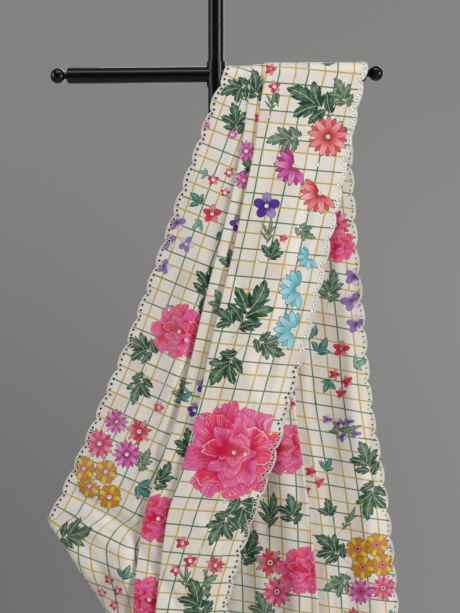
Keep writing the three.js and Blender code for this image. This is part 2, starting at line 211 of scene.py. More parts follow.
FRONT_RIDGES = (
    Ridge("strip", -24, 18, 7, 380, 260),
    Ridge("strip", -62, 26, -6, 300, 260),
    Ridge("left", 92, 60, 7, 150, 260),
    Ridge("panel", 78, 62, 5, 120, 260),
    Ridge("left", 40, 16, -2.4, 260, 200),
    Ridge("left", 150, 20, -3, 520, 200),
    Ridge("panel", 34, 14, -2.0, 60, 160),
    Ridge("panel", 128, 18, -2.6, 180, 220),
    Ridge("right", -38, 15, 2.2, 200, 200),
)
BACK_RIDGES = (
    Ridge("inner", -44, 34, -7, 260, 300),
    Ridge("inner", 62, 60, 7, 300, 300),
    Ridge("inner", 20, 13, -2.5, 300, 200),
    Ridge("right", -36, 16, -2.4, 240, 200),
    Ridge("inner", -90, 24, 3, 300, 300),
    Ridge("left", 60, 26, 3, 120, 200),
)
FRONT_CREASES = (
    Crease(-296, 828, -146, 914, 24, -7),
    Crease(-262, 896, -160, 960, 20, 4),
    Crease(-120, 700, -90, 850, 16, -3),
    Crease(-20, 110, -60, 300, 14, 2.4),
    Crease(40, 70, 0, 230, 12, -2),
    Crease(140, 12, 120, 150, 12, -1.6),
    Crease(190, 10, 176, 130, 13, 1.6),
    Crease(236, 14, 214, 160, 13, -1.6),
    Crease(60, 560, 96, 690, 20, 2.6),
    Crease(-40, 860, 10, 960, 18, 3),
    Crease(-60, 1000, -30, 1160, 16, -3),
    Crease(20, 330, 60, 460, 18, -2),
)
BACK_CREASES = (
    Crease(236, 220, 222, 420, 14, 2.4),
    Crease(262, 420, 268, 600, 14, -2.6),
    Crease(300, 690, 316, 860, 16, 2.8),
    Crease(110, 520, 120, 760, 16, 2.6),
    Crease(60, 300, 70, 560, 18, -2.8),
    Crease(180, 40, 172, 180, 14, 1.6),
    Crease(90, 40, 84, 200, 14, -1.6),
    Crease(240, 980, 262, 1160, 18, -3),
)
BELLY = Crease(-290, 985, -162, 985, 80, 14)


class Wave(NamedTuple):
    """A long shallow wave over the whole cloth."""

    across: float
    down: float
    height: float
    shift: float


WAVES = (
    Wave(150, 900, 1.5, 0.4),
    Wave(66, 520, 0.9, 2.1),
    Wave(31, 260, 0.35, 4.4),
    Wave(230, 310, 1.2, 1.3),
)


@dataclass(frozen=True)
class HubClearance:
    """How far the cloth stands forward to pass the hub and the post, in millimetres.

    It is full to the left of full_to, and fades from there over fades_over.
    """

    forward: float = 3.8
    rest: float = 1.6
    rises_over: float = 24.0
    falls_from: float = 34.0
    falls_over: float = 136.0
    full_to: float = 20.0
    fades_over: float = 42.0

    def at(self, x: Array, drop: float) -> Array:
        """The clearance at places on a row."""
        rising = self.forward * ease(drop / self.rises_over)
        falling = mix(self.forward, self.rest, ease((drop - self.falls_from) / self.falls_over))
        away = np.clip((x - self.full_to) / self.fades_over, 0, 1)
        return min(rising, falling) * (1 - away * away * (3 - 2 * away))


HUB = HubClearance()


@dataclass(frozen=True)
class Fall:
    """One hanging side of the cloth: its table of rows and its folds."""

    columns: Sequence[str]
    rows: Sequence[Sequence[float]]
    ridges: Sequence[Ridge]
    creases: Sequence[Crease]

    def row(self, drop: float) -> dict[str, float]:
        """Works out the table's values at any drop, on smooth curves through its rows.

        Args:
            drop: How far below the arm's axis.

        Returns:
            The value of each column.
        """
        rows = self.rows
        i = 0
        while i < len(rows) - 2 and rows[i + 1][0] < drop:
            i += 1
        low, high = rows[i], rows[i + 1]
        before, after = rows[max(i - 1, 0)], rows[min(i + 2, len(rows) - 1)]
        span = high[0] - low[0]
        t = min(1.0, max(0.0, (drop - low[0]) / span))
        found = {"drop": drop, "tuck": 0.0, "roll": NO_ROLL}
        for c in range(1, len(self.columns)):
            slope_low = (high[c] - before[c]) / (high[0] - before[0])
            slope_high = (after[c] - low[c]) / (after[0] - low[0])
            found[self.columns[c]] = (
                (2 * t**3 - 3 * t**2 + 1) * low[c]
                + (t**3 - 2 * t**2 + t) * span * slope_low
                + (3 * t**2 - 2 * t**3) * high[c]
                + (t**3 - t**2) * span * slope_high
            )
        found["roll"] = max(found["roll"], TIGHTEST_ROLL)
        found["tuck"] = max(found["tuck"], 0.0)
        return found


class Section:
    """The cloth's folded width at one height, seen from above: five layers, folded to and fro."""

    def __init__(self, sizes: ClothSizes, row: dict[str, float]) -> None:
        """Lays the runs and turns one after the other from the left selvedge.

        Args:
            sizes: The cloth's sizes.
            row: The fall's values at this height.
        """
        grown = ease(row["drop"] / sizes.step_grows_over)
        step = mix(sizes.layer_step_at_arm, sizes.layer_step_hanging, grown)
        r = step / 2
        inner = row.get("inner", row["right"] - sizes.inner_fold_inset)
        middle = inner - sizes.middle_fold_behind
        self.row = row
        self.starts: list[float] = []
        self.runs: list[Callable[[Array], tuple[Array, Array]]] = []
        self.length = 0.0
        left, tuck, roll = row["left"], row["tuck"], row["roll"]
        behind = tuck - math.pi * roll
        if behind > 0:
            self._add(behind, lambda q: (left + behind - q, np.full_like(q, -2 * roll)))
        rolled = min(tuck, math.pi * roll)
        if rolled > 0:
            self._add(rolled, lambda q: (
                left - roll * np.sin((rolled - q) / roll),
                -roll * (1 - np.cos((rolled - q) / roll)),
            ))
        self.left_x, self.strip_x, self.panel_x = inner - r, row["strip"] + r, row["panel"] + r
        ends, x = [], left
        for layer, fold in enumerate((self.left_x, self.strip_x, middle - r, self.panel_x)):
            ends.append(self._run(x, fold, layer * step))
            ends.append(self._turn(fold, layer * step, r, -1 if layer % 2 else 1))
            x = fold
        self.left_end, self.inner_turn, self.second_end, self.strip_turn = ends[:4]
        self.third_end, self.middle_turn, self.fourth_end, self.panel_turn = ends[4:]
        self.selvedge = self._run(x, row["right"], 4 * step)
        self.round_tuck = math.hypot(tuck, sizes.tuck_clear)

    def _add(self, length: float, run: Callable[[Array], tuple[Array, Array]]) -> float:
        """Adds one stretch and returns where it ends."""
        self.starts.append(self.length)
        self.runs.append(run)
        self.length += length
        return self.length

    def _run(self, x0: float, x1: float, depth: float) -> float:
        """Adds a flat stretch from x0 to x1."""
        sign = math.copysign(1.0, x1 - x0)
        return self._add(abs(x1 - x0), lambda q: (x0 + sign * q, np.full_like(q, depth)))

    def _turn(self, x: float, depth: float, r: float, sign: int) -> float:
        """Adds a half turn that bulges to the right (1) or to the left (-1)."""
        return self._add(math.pi * r, lambda q: (
            x + sign * r * np.sin(q / r),
            depth + r * (1 - np.cos(q / r)),
        ))

    def at(self, s: Array) -> tuple[Array, Array]:
        """Finds points of the section.

        Args:
            s: Lengths along the cloth from its left selvedge.

        Returns:
            Each point's x, and its depth in front of the innermost layer.
        """
        x, depth = np.empty_like(s), np.empty_like(s)
        index = np.clip(np.searchsorted(self.starts, s, side="right") - 1, 0, len(self.runs) - 1)
        for k, run in enumerate(self.runs):
            here = index == k
            x[here], depth[here] = run(s[here] - self.starts[k])
        return x, depth


class Drape:
    """The whole cloth's surface. Its length t runs up the front, over the arm and down the back.

    The waves start at WAVES_FROM below the arm and grow over WAVES_OVER. A crease keeps its height
    over the middle CREASE_FULL of its length and fades over CREASE_FADE.
    """

    WAVES_FROM = 30.0
    WAVES_OVER = 300.0
    CREASE_FULL = 0.4
    CREASE_FADE = 0.9
    TRACE_STEP = 3.0
    STEEPEST = 1.1

    def __init__(self, sizes: ClothSizes) -> None:
        """Keeps the two falls and the length of each edge that the weave follows."""
        self.sizes = sizes
        self.front = Fall(FRONT_COLUMNS, FRONT_ROWS, FRONT_RIDGES, FRONT_CREASES)
        self.back = Fall(BACK_COLUMNS, BACK_ROWS, BACK_RIDGES, BACK_CREASES)
        self.start, self.end = -sizes.fall, sizes.arc + sizes.fall
        self.seam = sizes.arc + sizes.seam_drop
        self.top = sizes.arc / 2
        self._traced: dict[str, tuple[Array, Array]] = {}

    def section(self, t: float) -> Section:
        """The cloth's section at length t."""
        arc = self.sizes.arc
        if t < 0:
            return Section(self.sizes, self.front.row(-t))
        if t > arc:
            return Section(self.sizes, self.back.row(t - arc))
        front, back = self.front.row(0), self.back.row(0)
        row = {"drop": 0.0, "tuck": 0.0, "roll": NO_ROLL}
        for name in ("left", "strip", "panel", "right"):
            row[name] = mix(front[name], back[name], t / arc)
        return Section(self.sizes, row)

    def _form(self, side: Side, x: Array, row: dict[str, float]) -> Array:
        """How far all layers stand out at x, apart from their own order."""
        drop = row["drop"]
        sizes = self.sizes
        fall = self.front if side is Side.FRONT else self.back
        if side is Side.FRONT:
            across = np.clip((x - row["panel"]) / (row["right"] - row["panel"]), 0, 1)
            from_left = np.clip((row["strip"] - x) / (row["strip"] - row["left"] + 1), 0, 1)
            out = sizes.lean_forward * ease(drop / sizes.fall) + HUB.at(x, drop)
            out = out - row["back"] * from_left**1.5 - row["turn"] * across**2
            out = out + self._crease(BELLY, x, drop)
        else:
            edge = np.clip((x - row["right"] + sizes.back_curl) / sizes.back_curl, 0, 1)
            out = sizes.lean_backward * ease(drop / sizes.fall) + row["turn"] * edge**2
        for ridge in fall.ridges:
            grown = ease((drop - ridge.starts) / ridge.over)
            if grown > 0:
                away = (x - row[ridge.edge] - ridge.offset) / ridge.half
                out = out + ridge.height * grown * bump(away)
        for crease in fall.creases:
            out = out + self._crease(crease, x, drop)
        hanging = ease((drop - self.WAVES_FROM) / self.WAVES_OVER)
        for wave in WAVES:
            turn = 2 * math.pi * (x / wave.across + drop / wave.down) + wave.shift
            out = out + wave.height * hanging * np.sin(turn)
        return out

    def _crease(self, crease: Crease, x: Array, drop: float) -> Array:
        """The height of one crease at places on a row."""
        dx, dz = crease.x1 - crease.x0, crease.drop1 - crease.drop0
        length = math.hypot(dx, dz)
        along = ((x - crease.x0) * dx + (drop - crease.drop0) * dz) / length**2
        away = ((x - crease.x0) * dz - (drop - crease.drop0) * dx) / length
        ends = np.clip(np.abs(along * 2 - 1) - self.CREASE_FULL, 0, None) / self.CREASE_FADE
        return crease.height * bump(away / crease.half) * bump(ends)

    def points(self, t: float, section: Section, s: Array) -> Array:
        """Points of the surface along one section.

        Args:
            t: The length up the front, over the arm and down the back.
            section: The section at t.
            s: Lengths along the section.

        Returns:
            One row of x, y and z for each length.
        """
        x, depth = section.at(s)
        sizes = self.sizes
        if 0 <= t <= sizes.arc:
            radius = sizes.first_layer + depth
            angle = t / sizes.first_layer
            height = sizes.arm_height + radius * math.sin(angle)
            return np.stack([x, -radius * math.cos(angle), height], axis=-1)
        side = Side.FRONT if t < 0 else Side.BACK
        drop = section.row["drop"]
        out = side.value * (sizes.first_layer + depth + self._form(side, x, section.row))
        return np.stack([x, out, np.full_like(x, sizes.arm_height - drop)], axis=-1)

    def edge_s(self, edge: str, section: Section) -> float:
        """Where a named edge lies along a section."""
        return {"left": 0.0, "strip": section.strip_turn, "right": section.selvedge}[edge]

    def traced(self, edge: str) -> tuple[Array, Array]:
        """The length along a named edge.

        Args:
            edge: left, strip or right.

        Returns:
            The values of t, and the edge's length from the front's side of the arm at each.
        """
        if edge not in self._traced:
            stations = np.arange(self.start, self.end, self.TRACE_STEP)
            ts = np.union1d(stations, [0.0, self.top, self.seam, self.end])
            places = []
            for t in ts:
                section = self.section(t)
                places.append(self.points(t, section, np.array([self.edge_s(edge, section)]))[0])
            steps = np.linalg.norm(np.diff(places, axis=0), axis=1)
            lengths = np.concatenate([[0.0], np.cumsum(steps)])
            self._traced[edge] = (ts, lengths - np.interp(0.0, ts, lengths))
        return self._traced[edge]

    def woven(self, edge: str) -> Array:
        """The check's length along a named edge, which leaves out where the fold runs sideways."""
        ts, lengths = self.traced(edge)
        steps = np.minimum(np.diff(lengths), self.STEEPEST * np.diff(ts))
        along = np.concatenate([[0.0], np.cumsum(steps)])
        return along - np.interp(0.0, ts, along)

    def scallop_rows(self, edge: str, back: bool) -> list[tuple[float, float]]:
        """Rows that follow the scallops of one selvedge.

        Args:
            edge: left or right.
            back: Whether the rows are those below the seam on the back.

        Returns:
            The t of each row, and how far it is through its scallop, from 0 to 1.
        """
        ts, lengths = self.traced(edge)
        knots = (self.seam, self.end) if back else (self.start, self.top, self.seam)
        rows: list[tuple[float, float]] = []
        n = self.sizes.rows_a_scallop
        for low, high in zip(knots, knots[1:]):
            a, b = np.interp([low, high], ts, lengths)
            count = max(1, round((b - a) / self.sizes.scallop))
            for k in range(count * n):
                place = a + (b - a) * k / (count * n)
                rows.append((float(np.interp(place, lengths, ts)), (k % n) / n))
        rows.append((knots[-1], 0.0))
        return rows

    def outward(self, phase: float) -> float:
        """How far a scallop reaches out."""
        swell = max(0.0, math.sin(math.pi * phase)) ** self.sizes.scallop_fullness
        return self.sizes.scallop_depth * swell


class Panel(Enum):
    """The stretches of cloth, by the edge that their weave follows."""

    LEFT = "left"
    PLEATS = "strip"
    RIGHT = "right"


@dataclass(frozen=True)
class Weave:
    """How the check lies on one panel: the tilt of its rows on the front and on the back.

    The tilt changes from starts before the top of the arm on, over a length of over. along is the
    check's width as a share of the cloth's.
    """

    front: float
    back: float
    along: float = 0.97
    starts: float = 40.0
    over: float = 340.0


WEAVES = {
    Panel.LEFT: Weave(-0.37, 0.17),
    Panel.PLEATS: Weave(-0.2, 0.1),
    Panel.RIGHT: Weave(0.09, -0.176),
}


def spread(plan: Sequence[tuple[float, float, int]]) -> Array:
    """Stations across one row, from stretches of start, end and steps."""
    found = [np.array([plan[0][0]])]
    found.extend(np.linspace(low, high, steps + 1)[1:] for low, high, steps in plan)
    return np.concatenate(found)


class ClothGrid:
    """One panel as rows of points, with the cloth coordinates that its print follows.

    The rows of the pleats are FRONT_STEP or BACK_STEP apart. A place without a scalloped edge near
    counts as NO_EDGE inside it. A panel shows from BORDER_CLEAR inside its edge on, and from
    STRIP_CLEAR or PANEL_CLEAR beside its fold. A normal is taken from places PROBE apart.
    """

    FRONT_STEP = 6.0
    BACK_STEP = 8.0
    NO_EDGE = 99.0
    BORDER_CLEAR = 16.0
    STRIP_CLEAR = 2
    PANEL_CLEAR = 4
    PROBE = 3

    def __init__(self, drape: Drape, panel: Panel, back: bool) -> None:
        """Works out the points, cloth coordinates and distance from the scalloped edge.

        Args:
            drape: The whole cloth's surface.
            panel: Which stretch of its width.
            back: Whether it is the part below the seam on the back.
        """
        self.drape, self.panel, self.back = drape, panel, back
        if panel is Panel.PLEATS:
            step = self.BACK_STEP if back else self.FRONT_STEP
            low, high = (drape.seam, drape.end) if back else (drape.start, drape.seam)
            rows = [(t, 0.0) for t in np.linspace(low, high, round((high - low) / step))]
        else:
            rows = drape.scallop_rows(panel.value, back)
        points, cloth = [], []
        for t, phase in rows:
            section = drape.section(t)
            s = spread(self._plan(section, drape.outward(phase)))
            points.append(drape.points(t, section, s))
            a, b = self.cloth_at(t, section, s)
            edges = {Panel.LEFT: s, Panel.RIGHT: section.selvedge - s}
            inside = edges.get(panel, np.full_like(s, self.NO_EDGE))
            cloth.append(np.stack([a, b, inside + drape.outward(phase)], axis=-1))
        self.points = np.array(points)
        self.cloth = np.array(cloth)

    def _plan(self, q: Section, outward: float) -> list[tuple[float, float, int]]:
        """The stretches of columns across one section of this panel."""
        sizes = self.drape.sizes
        past = sizes.seam_past_fold
        if self.panel is Panel.LEFT:
            return [
                (-outward, sizes.border, 5),
                (sizes.border, q.round_tuck, 8),
                (q.round_tuck, q.left_end, 62),
                (q.left_end, q.inner_turn, 6),
                (q.inner_turn, q.inner_turn + past, 2),
            ]
        if self.panel is Panel.PLEATS:
            return [
                (q.inner_turn + past, q.second_end, 20),
                (q.second_end, q.strip_turn, 6),
                (q.strip_turn, q.third_end, 34),
                (q.third_end, q.middle_turn, 6),
                (q.middle_turn, q.fourth_end - past, 20),
            ]
        return [
            (q.fourth_end - past, q.fourth_end, 2),
            (q.fourth_end, q.panel_turn, 6),
            (q.panel_turn, q.selvedge - sizes.border, 40),
            (q.selvedge - sizes.border, q.selvedge + outward, 5),
        ]

    def cloth_at(self, t: float, section: Section, s: Array) -> tuple[Array, Array]:
        """Cloth coordinates of places on a section.

        Args:
            t: The length up the front, over the arm and down the back.
            section: The section at t.
            s: Lengths along the section.

        Returns:
            The distance across the cloth from the panel's own edge, and the length along it.
        """
        ts, _ = self.drape.traced(self.panel.value)
        weave = WEAVES[self.panel]
        edge = self.drape.edge_s(self.panel.value, section)
        across = (edge - s) if self.panel is Panel.RIGHT else (s - edge)
        lengths = self.drape.woven(self.panel.value)
        grown = ease((t - self.drape.top + weave.starts) / weave.over)
        tilt = mix(weave.front, weave.back, grown)
        return across * weave.along, np.interp(t, ts, lengths) * -1 + tilt * across

    def _station(self, x: float, drop: float) -> tuple[float, Section, float]:
        """The length, section and place across it of what a viewer in front sees at x and drop."""
        t = self.drape.sizes.arc + drop if self.back else -drop
        q = self.drape.section(t)
        s = {
            Panel.LEFT: q.left_end - (q.left_x - x),
            Panel.PLEATS: q.strip_turn + (x - q.strip_x),
            Panel.RIGHT: q.panel_turn + (x - q.panel_x),
        }[self.panel]
        return t, q, s

    def place(self, x: float, drop: float) -> tuple[float, float]:
        """Cloth coordinates of what a viewer in front sees at x and drop.

        Args:
            x: The place along the arm.
            drop: How far below the arm.

        Returns:
            The two cloth coordinates.
        """
        t, q, s = self._station(x, drop)
        a, b = self.cloth_at(t, q, np.array([s]))
        return float(a[0]), float(b[0])

    def shows(self, x: float, drop: float) -> bool:
        """Whether this panel's outer stretch reaches x and drop, clear of its border and folds."""
        _, q, s = self._station(x, drop)
        low, high = {
            Panel.LEFT: (self.BORDER_CLEAR, q.left_end),
            Panel.PLEATS: (q.strip_turn + self.STRIP_CLEAR, q.third_end),
            Panel.RIGHT: (q.panel_turn + self.PANEL_CLEAR, q.selvedge - self.BORDER_CLEAR),
        }[self.panel]
        return low < s < high

    def surface(self, x: float, drop: float) -> tuple[Array, Array]:
        """The point and the outward normal of the cloth at x and drop."""
        found = []
        for dx, dd in ((0, 0), (self.PROBE, 0), (0, self.PROBE)):
            t, q, s = self._station(x + dx, drop + dd)
            found.append(self.drape.points(t, q, np.array([s]))[0])
        normal = np.cross(found[2] - found[0], found[1] - found[0])
        normal *= -1 if self.back else 1
        return found[0], normal / np.linalg.norm(normal)


def rgba(code: str, alpha: float = 1.0) -> tuple[float, float, float, float]:
    """A colour's linear values from its six-digit hex code, and its alpha."""
    parts = [int(code[i : i + 2], 16) / 255 for i in (0, 2, 4)]
    red, green, blue = (v / 12.92 if v <= 0.04045 else ((v + 0.055) / 1.055) ** 2.4 for v in parts)
    return red, green, blue, alpha


class Layer(Enum):
    """Which of the print's layers a motif is drawn in, from the bottom up."""

    LEAF_LOW = "leaf_low"
    LEAF_HIGH = "leaf_high"
    BLOOM_LOW = "bloom_low"
    BLOOM_HIGH = "bloom_high"
    PEONY = "peony"


class Eye(Enum):
    """The middle of a bloom."""

    GOLD = 0.1
    PINK = 0.4
    CREAM = 0.7
    DARK = 0.95


@dataclass(frozen=True)
class Motif:
    """A kind of flower or leaf, drawn by formula.

    The form's numbers are petals, how full they are and their taper for a bloom, pairs of leaflets,
    their width and their lobes for a leaf. spare is the share of a full round for a bloom, and the
    angle between leaflets for a leaf.
    """

    ink: str
    form: tuple[float, float, float]
    spare: float = 1.0
    eye: Eye = Eye.GOLD
    layers: tuple[Layer, ...] = (Layer.BLOOM_LOW, Layer.BLOOM_HIGH)


LEAVES = (Layer.LEAF_LOW, Layer.LEAF_HIGH)
MOTIFS = {
    "small_red": Motif("dc3450", (5, 0.92, 0.1), eye=Eye.CREAM),
    "coral_daisy": Motif("f2747a", (9, 0.86, 0.15)),
    "coral_fan": Motif("f2747a", (9, 0.86, 0.15), spare=0.56),
    "magenta_fan": Motif("d040a2", (9, 0.86, 0.15), spare=0.56),
    "magenta_aster": Motif("d957ab", (8, 0.78, 0.35)),
    "pink_aster": Motif("ea4a80", (8, 0.78, 0.35), eye=Eye.CREAM),
    "red_aster": Motif("dd2b4a", (7, 0.75, 0.4), eye=Eye.CREAM),
    "mustard": Motif("e09a1c", (9, 0.98, -0.25), eye=Eye.PINK),
    "pansy": Motif("5b2d9e", (5, 1.0, -0.2), eye=Eye.CREAM),
    "lilac": Motif("9577b4", (5, 0.98, -0.1), eye=Eye.DARK),
    "turquoise": Motif("86d2df", (9, 0.9, 0.05), spare=0.62, eye=Eye.CREAM),
    "peony": Motif("f02c66", (9, 0.6, 2.0), layers=(Layer.PEONY,)),
    "dark_leaf": Motif("225a39", (2, 0.34, 0.5), spare=0.66, layers=LEAVES),
    "dark_pair": Motif("225a39", (1, 0.34, 0.5), spare=0.7, layers=LEAVES),
    "grey_leaf": Motif("66866a", (2, 0.32, 0.5), spare=0.66, layers=LEAVES),
    "teal_leaf": Motif("2f8a80", (1, 0.27, 0.1), spare=0.8, layers=LEAVES),
    "mint_leaf": Motif("7cb5a5", (1, 0.24, 0.0), spare=0.8, layers=LEAVES),
    "fern": Motif("22603c", (2, 0.2, 0.3), spare=0.5, layers=LEAVES),
    "twig": Motif("3f7a4c", (2, 0.11, 0.0), spare=0.42, layers=LEAVES),
}


class Spot(NamedTuple):
    """A motif on a panel: its kind, place as seen from the front, radius and turn in degrees."""

    kind: str
    x: float
    drop: float
    radius: float
    turn: float = 0.0


def spots(*rows: tuple) -> tuple[Spot, ...]:
    """The rows of a table as spots."""
    return tuple(Spot(*row) for row in rows)


# Motifs as they are seen from the front: kind, x, drop below the arm, radius and turn in degrees.
FRONT_LEFT_SPOTS = spots(
    ("dark_leaf", 46, 30, 40, 200), ("dark_leaf", 40, 96, 40, 100), ("pink_aster", -22, 104, 13),
    ("magenta_aster", 34, 122, 11), ("small_red", -4, 212, 12, 20), ("small_red", 28, 198, 11, 50),
    ("small_red", 20, 238, 10, 5), ("small_red", -6, 280, 20, 12),
    ("teal_leaf", -34, 256, 26, 130), ("mint_leaf", -30, 300, 21, 210),
    ("teal_leaf", 14, 320, 24, 300), ("mint_leaf", -20, 200, 17, 160), ("lilac", -78, 296, 19, 10),
    ("lilac", -58, 340, 17, 60), ("lilac", -96, 334, 18, 30), ("lilac", -104, 384, 16, 70),
    ("dark_leaf", -12, 420, 47, 70), ("peony", -70, 514, 60, 10),
    ("dark_leaf", -144, 548, 47, 160), ("dark_leaf", -150, 622, 42, 250),
    ("dark_pair", -24, 470, 31, 20), ("red_aster", -150, 712, 27, 8),
    ("magenta_aster", -198, 694, 26), ("pink_aster", -232, 738, 31, 15),
    ("magenta_aster", -174, 757, 30, 5), ("mustard", -264, 788, 25),
    ("mustard", -217, 792, 25, 20), ("mustard", -251, 822, 25, 8), ("mustard", -208, 841, 25, 30),
    ("grey_leaf", -142, 770, 31, 60), ("teal_leaf", -146, 822, 32, 330),
    ("dark_leaf", -286, 918, 47, 20), ("mint_leaf", -116, 858, 24, 240),
    ("small_red", -206, 1002, 11), ("small_red", -188, 1022, 11, 30),
    ("small_red", -222, 1030, 10, 12), ("small_red", -196, 1052, 11, 50),
    ("teal_leaf", -176, 990, 24, 60), ("mint_leaf", -232, 1062, 21, 220),
    ("pansy", -92, 470, 12, 40), ("grey_leaf", -60, 640, 35, 100), ("small_red", -110, 664, 12),
)
FRONT_PLEATS_SPOTS = spots(
    ("magenta_aster", 62, 156, 22), ("magenta_aster", 58, 214, 20, 12), ("pansy", 46, 300, 17, 30),
    ("dark_leaf", 80, 30, 42, 100), ("dark_pair", 30, 380, 31, 90),
    ("grey_leaf", 12, 460, 33, 110), ("pansy", -20, 620, 16, 80), ("pansy", -38, 668, 15, 20),
    ("dark_leaf", -50, 740, 40, 95), ("peony", -108, 880, 52, 30), ("peony", -124, 1036, 50, 200),
    ("dark_leaf", -104, 800, 38, 60), ("small_red", 88, 90, 12),
)
FRONT_RIGHT_SPOTS = spots(
    ("small_red", 110, -6, 12), ("small_red", 118, 28, 13, 30), ("twig", 112, 60, 30, 80),
    ("dark_leaf", 196, 62, 64, 150), ("grey_leaf", 252, 46, 40, 115),
    ("coral_daisy", 224, 128, 42, 8), ("grey_leaf", 144, 132, 45, 190),
    ("magenta_fan", 158, 186, 42, 215), ("coral_fan", 208, 240, 42, 235),
    ("pansy", 103, 266, 27, 15), ("dark_pair", 112, 362, 35, 70), ("twig", 106, 320, 34, 80),
    ("turquoise", 166, 430, 40, 190), ("turquoise", 156, 512, 40, 175),
    ("turquoise", 188, 366, 26, 220), ("dark_leaf", 70, 470, 68, 60),
    ("dark_leaf", 26, 580, 52, 230), ("dark_leaf", 104, 540, 42, 330),
    ("dark_pair", 30, 492, 38, 140), ("peony", 40, 750, 106, 25), ("dark_leaf", 62, 872, 61, 290),
    ("dark_leaf", 18, 892, 47, 240), ("small_red", -60, 926, 14), ("small_red", -44, 960, 14, 25),
    ("small_red", -72, 978, 12, 50), ("twig", -54, 996, 32, 90), ("dark_leaf", -30, 1040, 52, 110),
    ("red_aster", 4, 970, 20), ("grey_leaf", -20, 1000, 31, 20), ("small_red", 136, 330, 9),
    ("grey_leaf", 176, 316, 28, 330), ("dark_pair", 252, 112, 26, 250),
    ("dark_pair", 128, 60, 28, 40),
)
BACK_INNER_SPOTS = spots(
    ("peony", 138, 752, 58, 40), ("peony", 172, 1000, 54, 10), ("fern", 106, 884, 46, 80),
    ("red_aster", 106, 984, 32), ("pink_aster", 120, 1044, 32, 10),
    ("dark_leaf", 150, 880, 40, 100), ("small_red", 146, 660, 13), ("dark_leaf", 60, 960, 47, 70),
    ("grey_leaf", 92, 1080, 42, 110),
)
BACK_RIGHT_SPOTS = spots(
    ("pink_aster", 236, 300, 34), ("peony", 246, 342, 36, 60), ("grey_leaf", 228, 428, 42, 80),
    ("lilac", 276, 404, 20), ("lilac", 270, 452, 22, 40), ("lilac", 280, 500, 20, 20),
    ("teal_leaf", 206, 552, 31, 60), ("small_red", 250, 550, 18, 10), ("small_red", 236, 602, 12),
    ("small_red", 262, 616, 13, 40), ("small_red", 250, 640, 12, 20),
    ("teal_leaf", 226, 620, 24, 240), ("mint_leaf", 280, 580, 26, 20),
    ("teal_leaf", 192, 520, 28, 140), ("lilac", 222, 694, 11), ("lilac", 244, 702, 12, 30),
    ("lilac", 266, 698, 11, 10), ("lilac", 252, 728, 12, 50), ("lilac", 280, 722, 11),
    ("twig", 250, 712, 44, 10), ("small_red", 188, 800, 12), ("small_red", 206, 822, 12, 40),
    ("small_red", 178, 838, 11, 20), ("dark_leaf", 302, 780, 47, 110),
    ("dark_leaf", 312, 852, 50, 260), ("teal_leaf", 218, 792, 24, 60), ("mustard", 284, 958, 25),
    ("mustard", 322, 950, 25, 15), ("mustard", 294, 996, 25, 30), ("mustard", 334, 992, 25, 5),
    ("magenta_aster", 290, 1046, 28), ("pink_aster", 336, 1040, 28, 20),
    ("dark_leaf", 232, 960, 47, 140), ("grey_leaf", 248, 1030, 38, 200),
    ("dark_pair", 224, 884, 31, 100), ("twig", 262, 900, 36, 60),
)
# Groups of motifs for bare cloth: kind, place beside the group's middle, radius and turn.
BOUQUETS = (
    (
        ("dark_leaf", 0, 0, 46, 90), ("coral_daisy", 22, -34, 38, 0),
        ("small_red", -34, -26, 14, 10),
    ),
    (("peony", 0, 0, 60, 20), ("dark_leaf", -58, 22, 40, 150), ("dark_leaf", 50, 36, 38, 20)),
    (
        ("mustard", -22, 0, 25, 0), ("mustard", 22, 6, 25, 20), ("mustard", 2, 36, 25, 8),
        ("grey_leaf", 40, -30, 30, 40),
    ),
    (
        ("magenta_aster", 0, 0, 30, 0), ("red_aster", 44, 12, 26, 10),
        ("teal_leaf", -30, 30, 28, 200),
    ),
    (
        ("lilac", 0, 0, 18, 0), ("lilac", 28, 18, 16, 30), ("mint_leaf", -22, 26, 24, 230),
        ("pansy", 6, 44, 20, 10),
    ),
    (
        ("small_red", 0, 0, 13, 0), ("small_red", 24, 16, 13, 30), ("twig", 8, 28, 32, 80),
        ("teal_leaf", -20, 30, 22, 150),
    ),
)


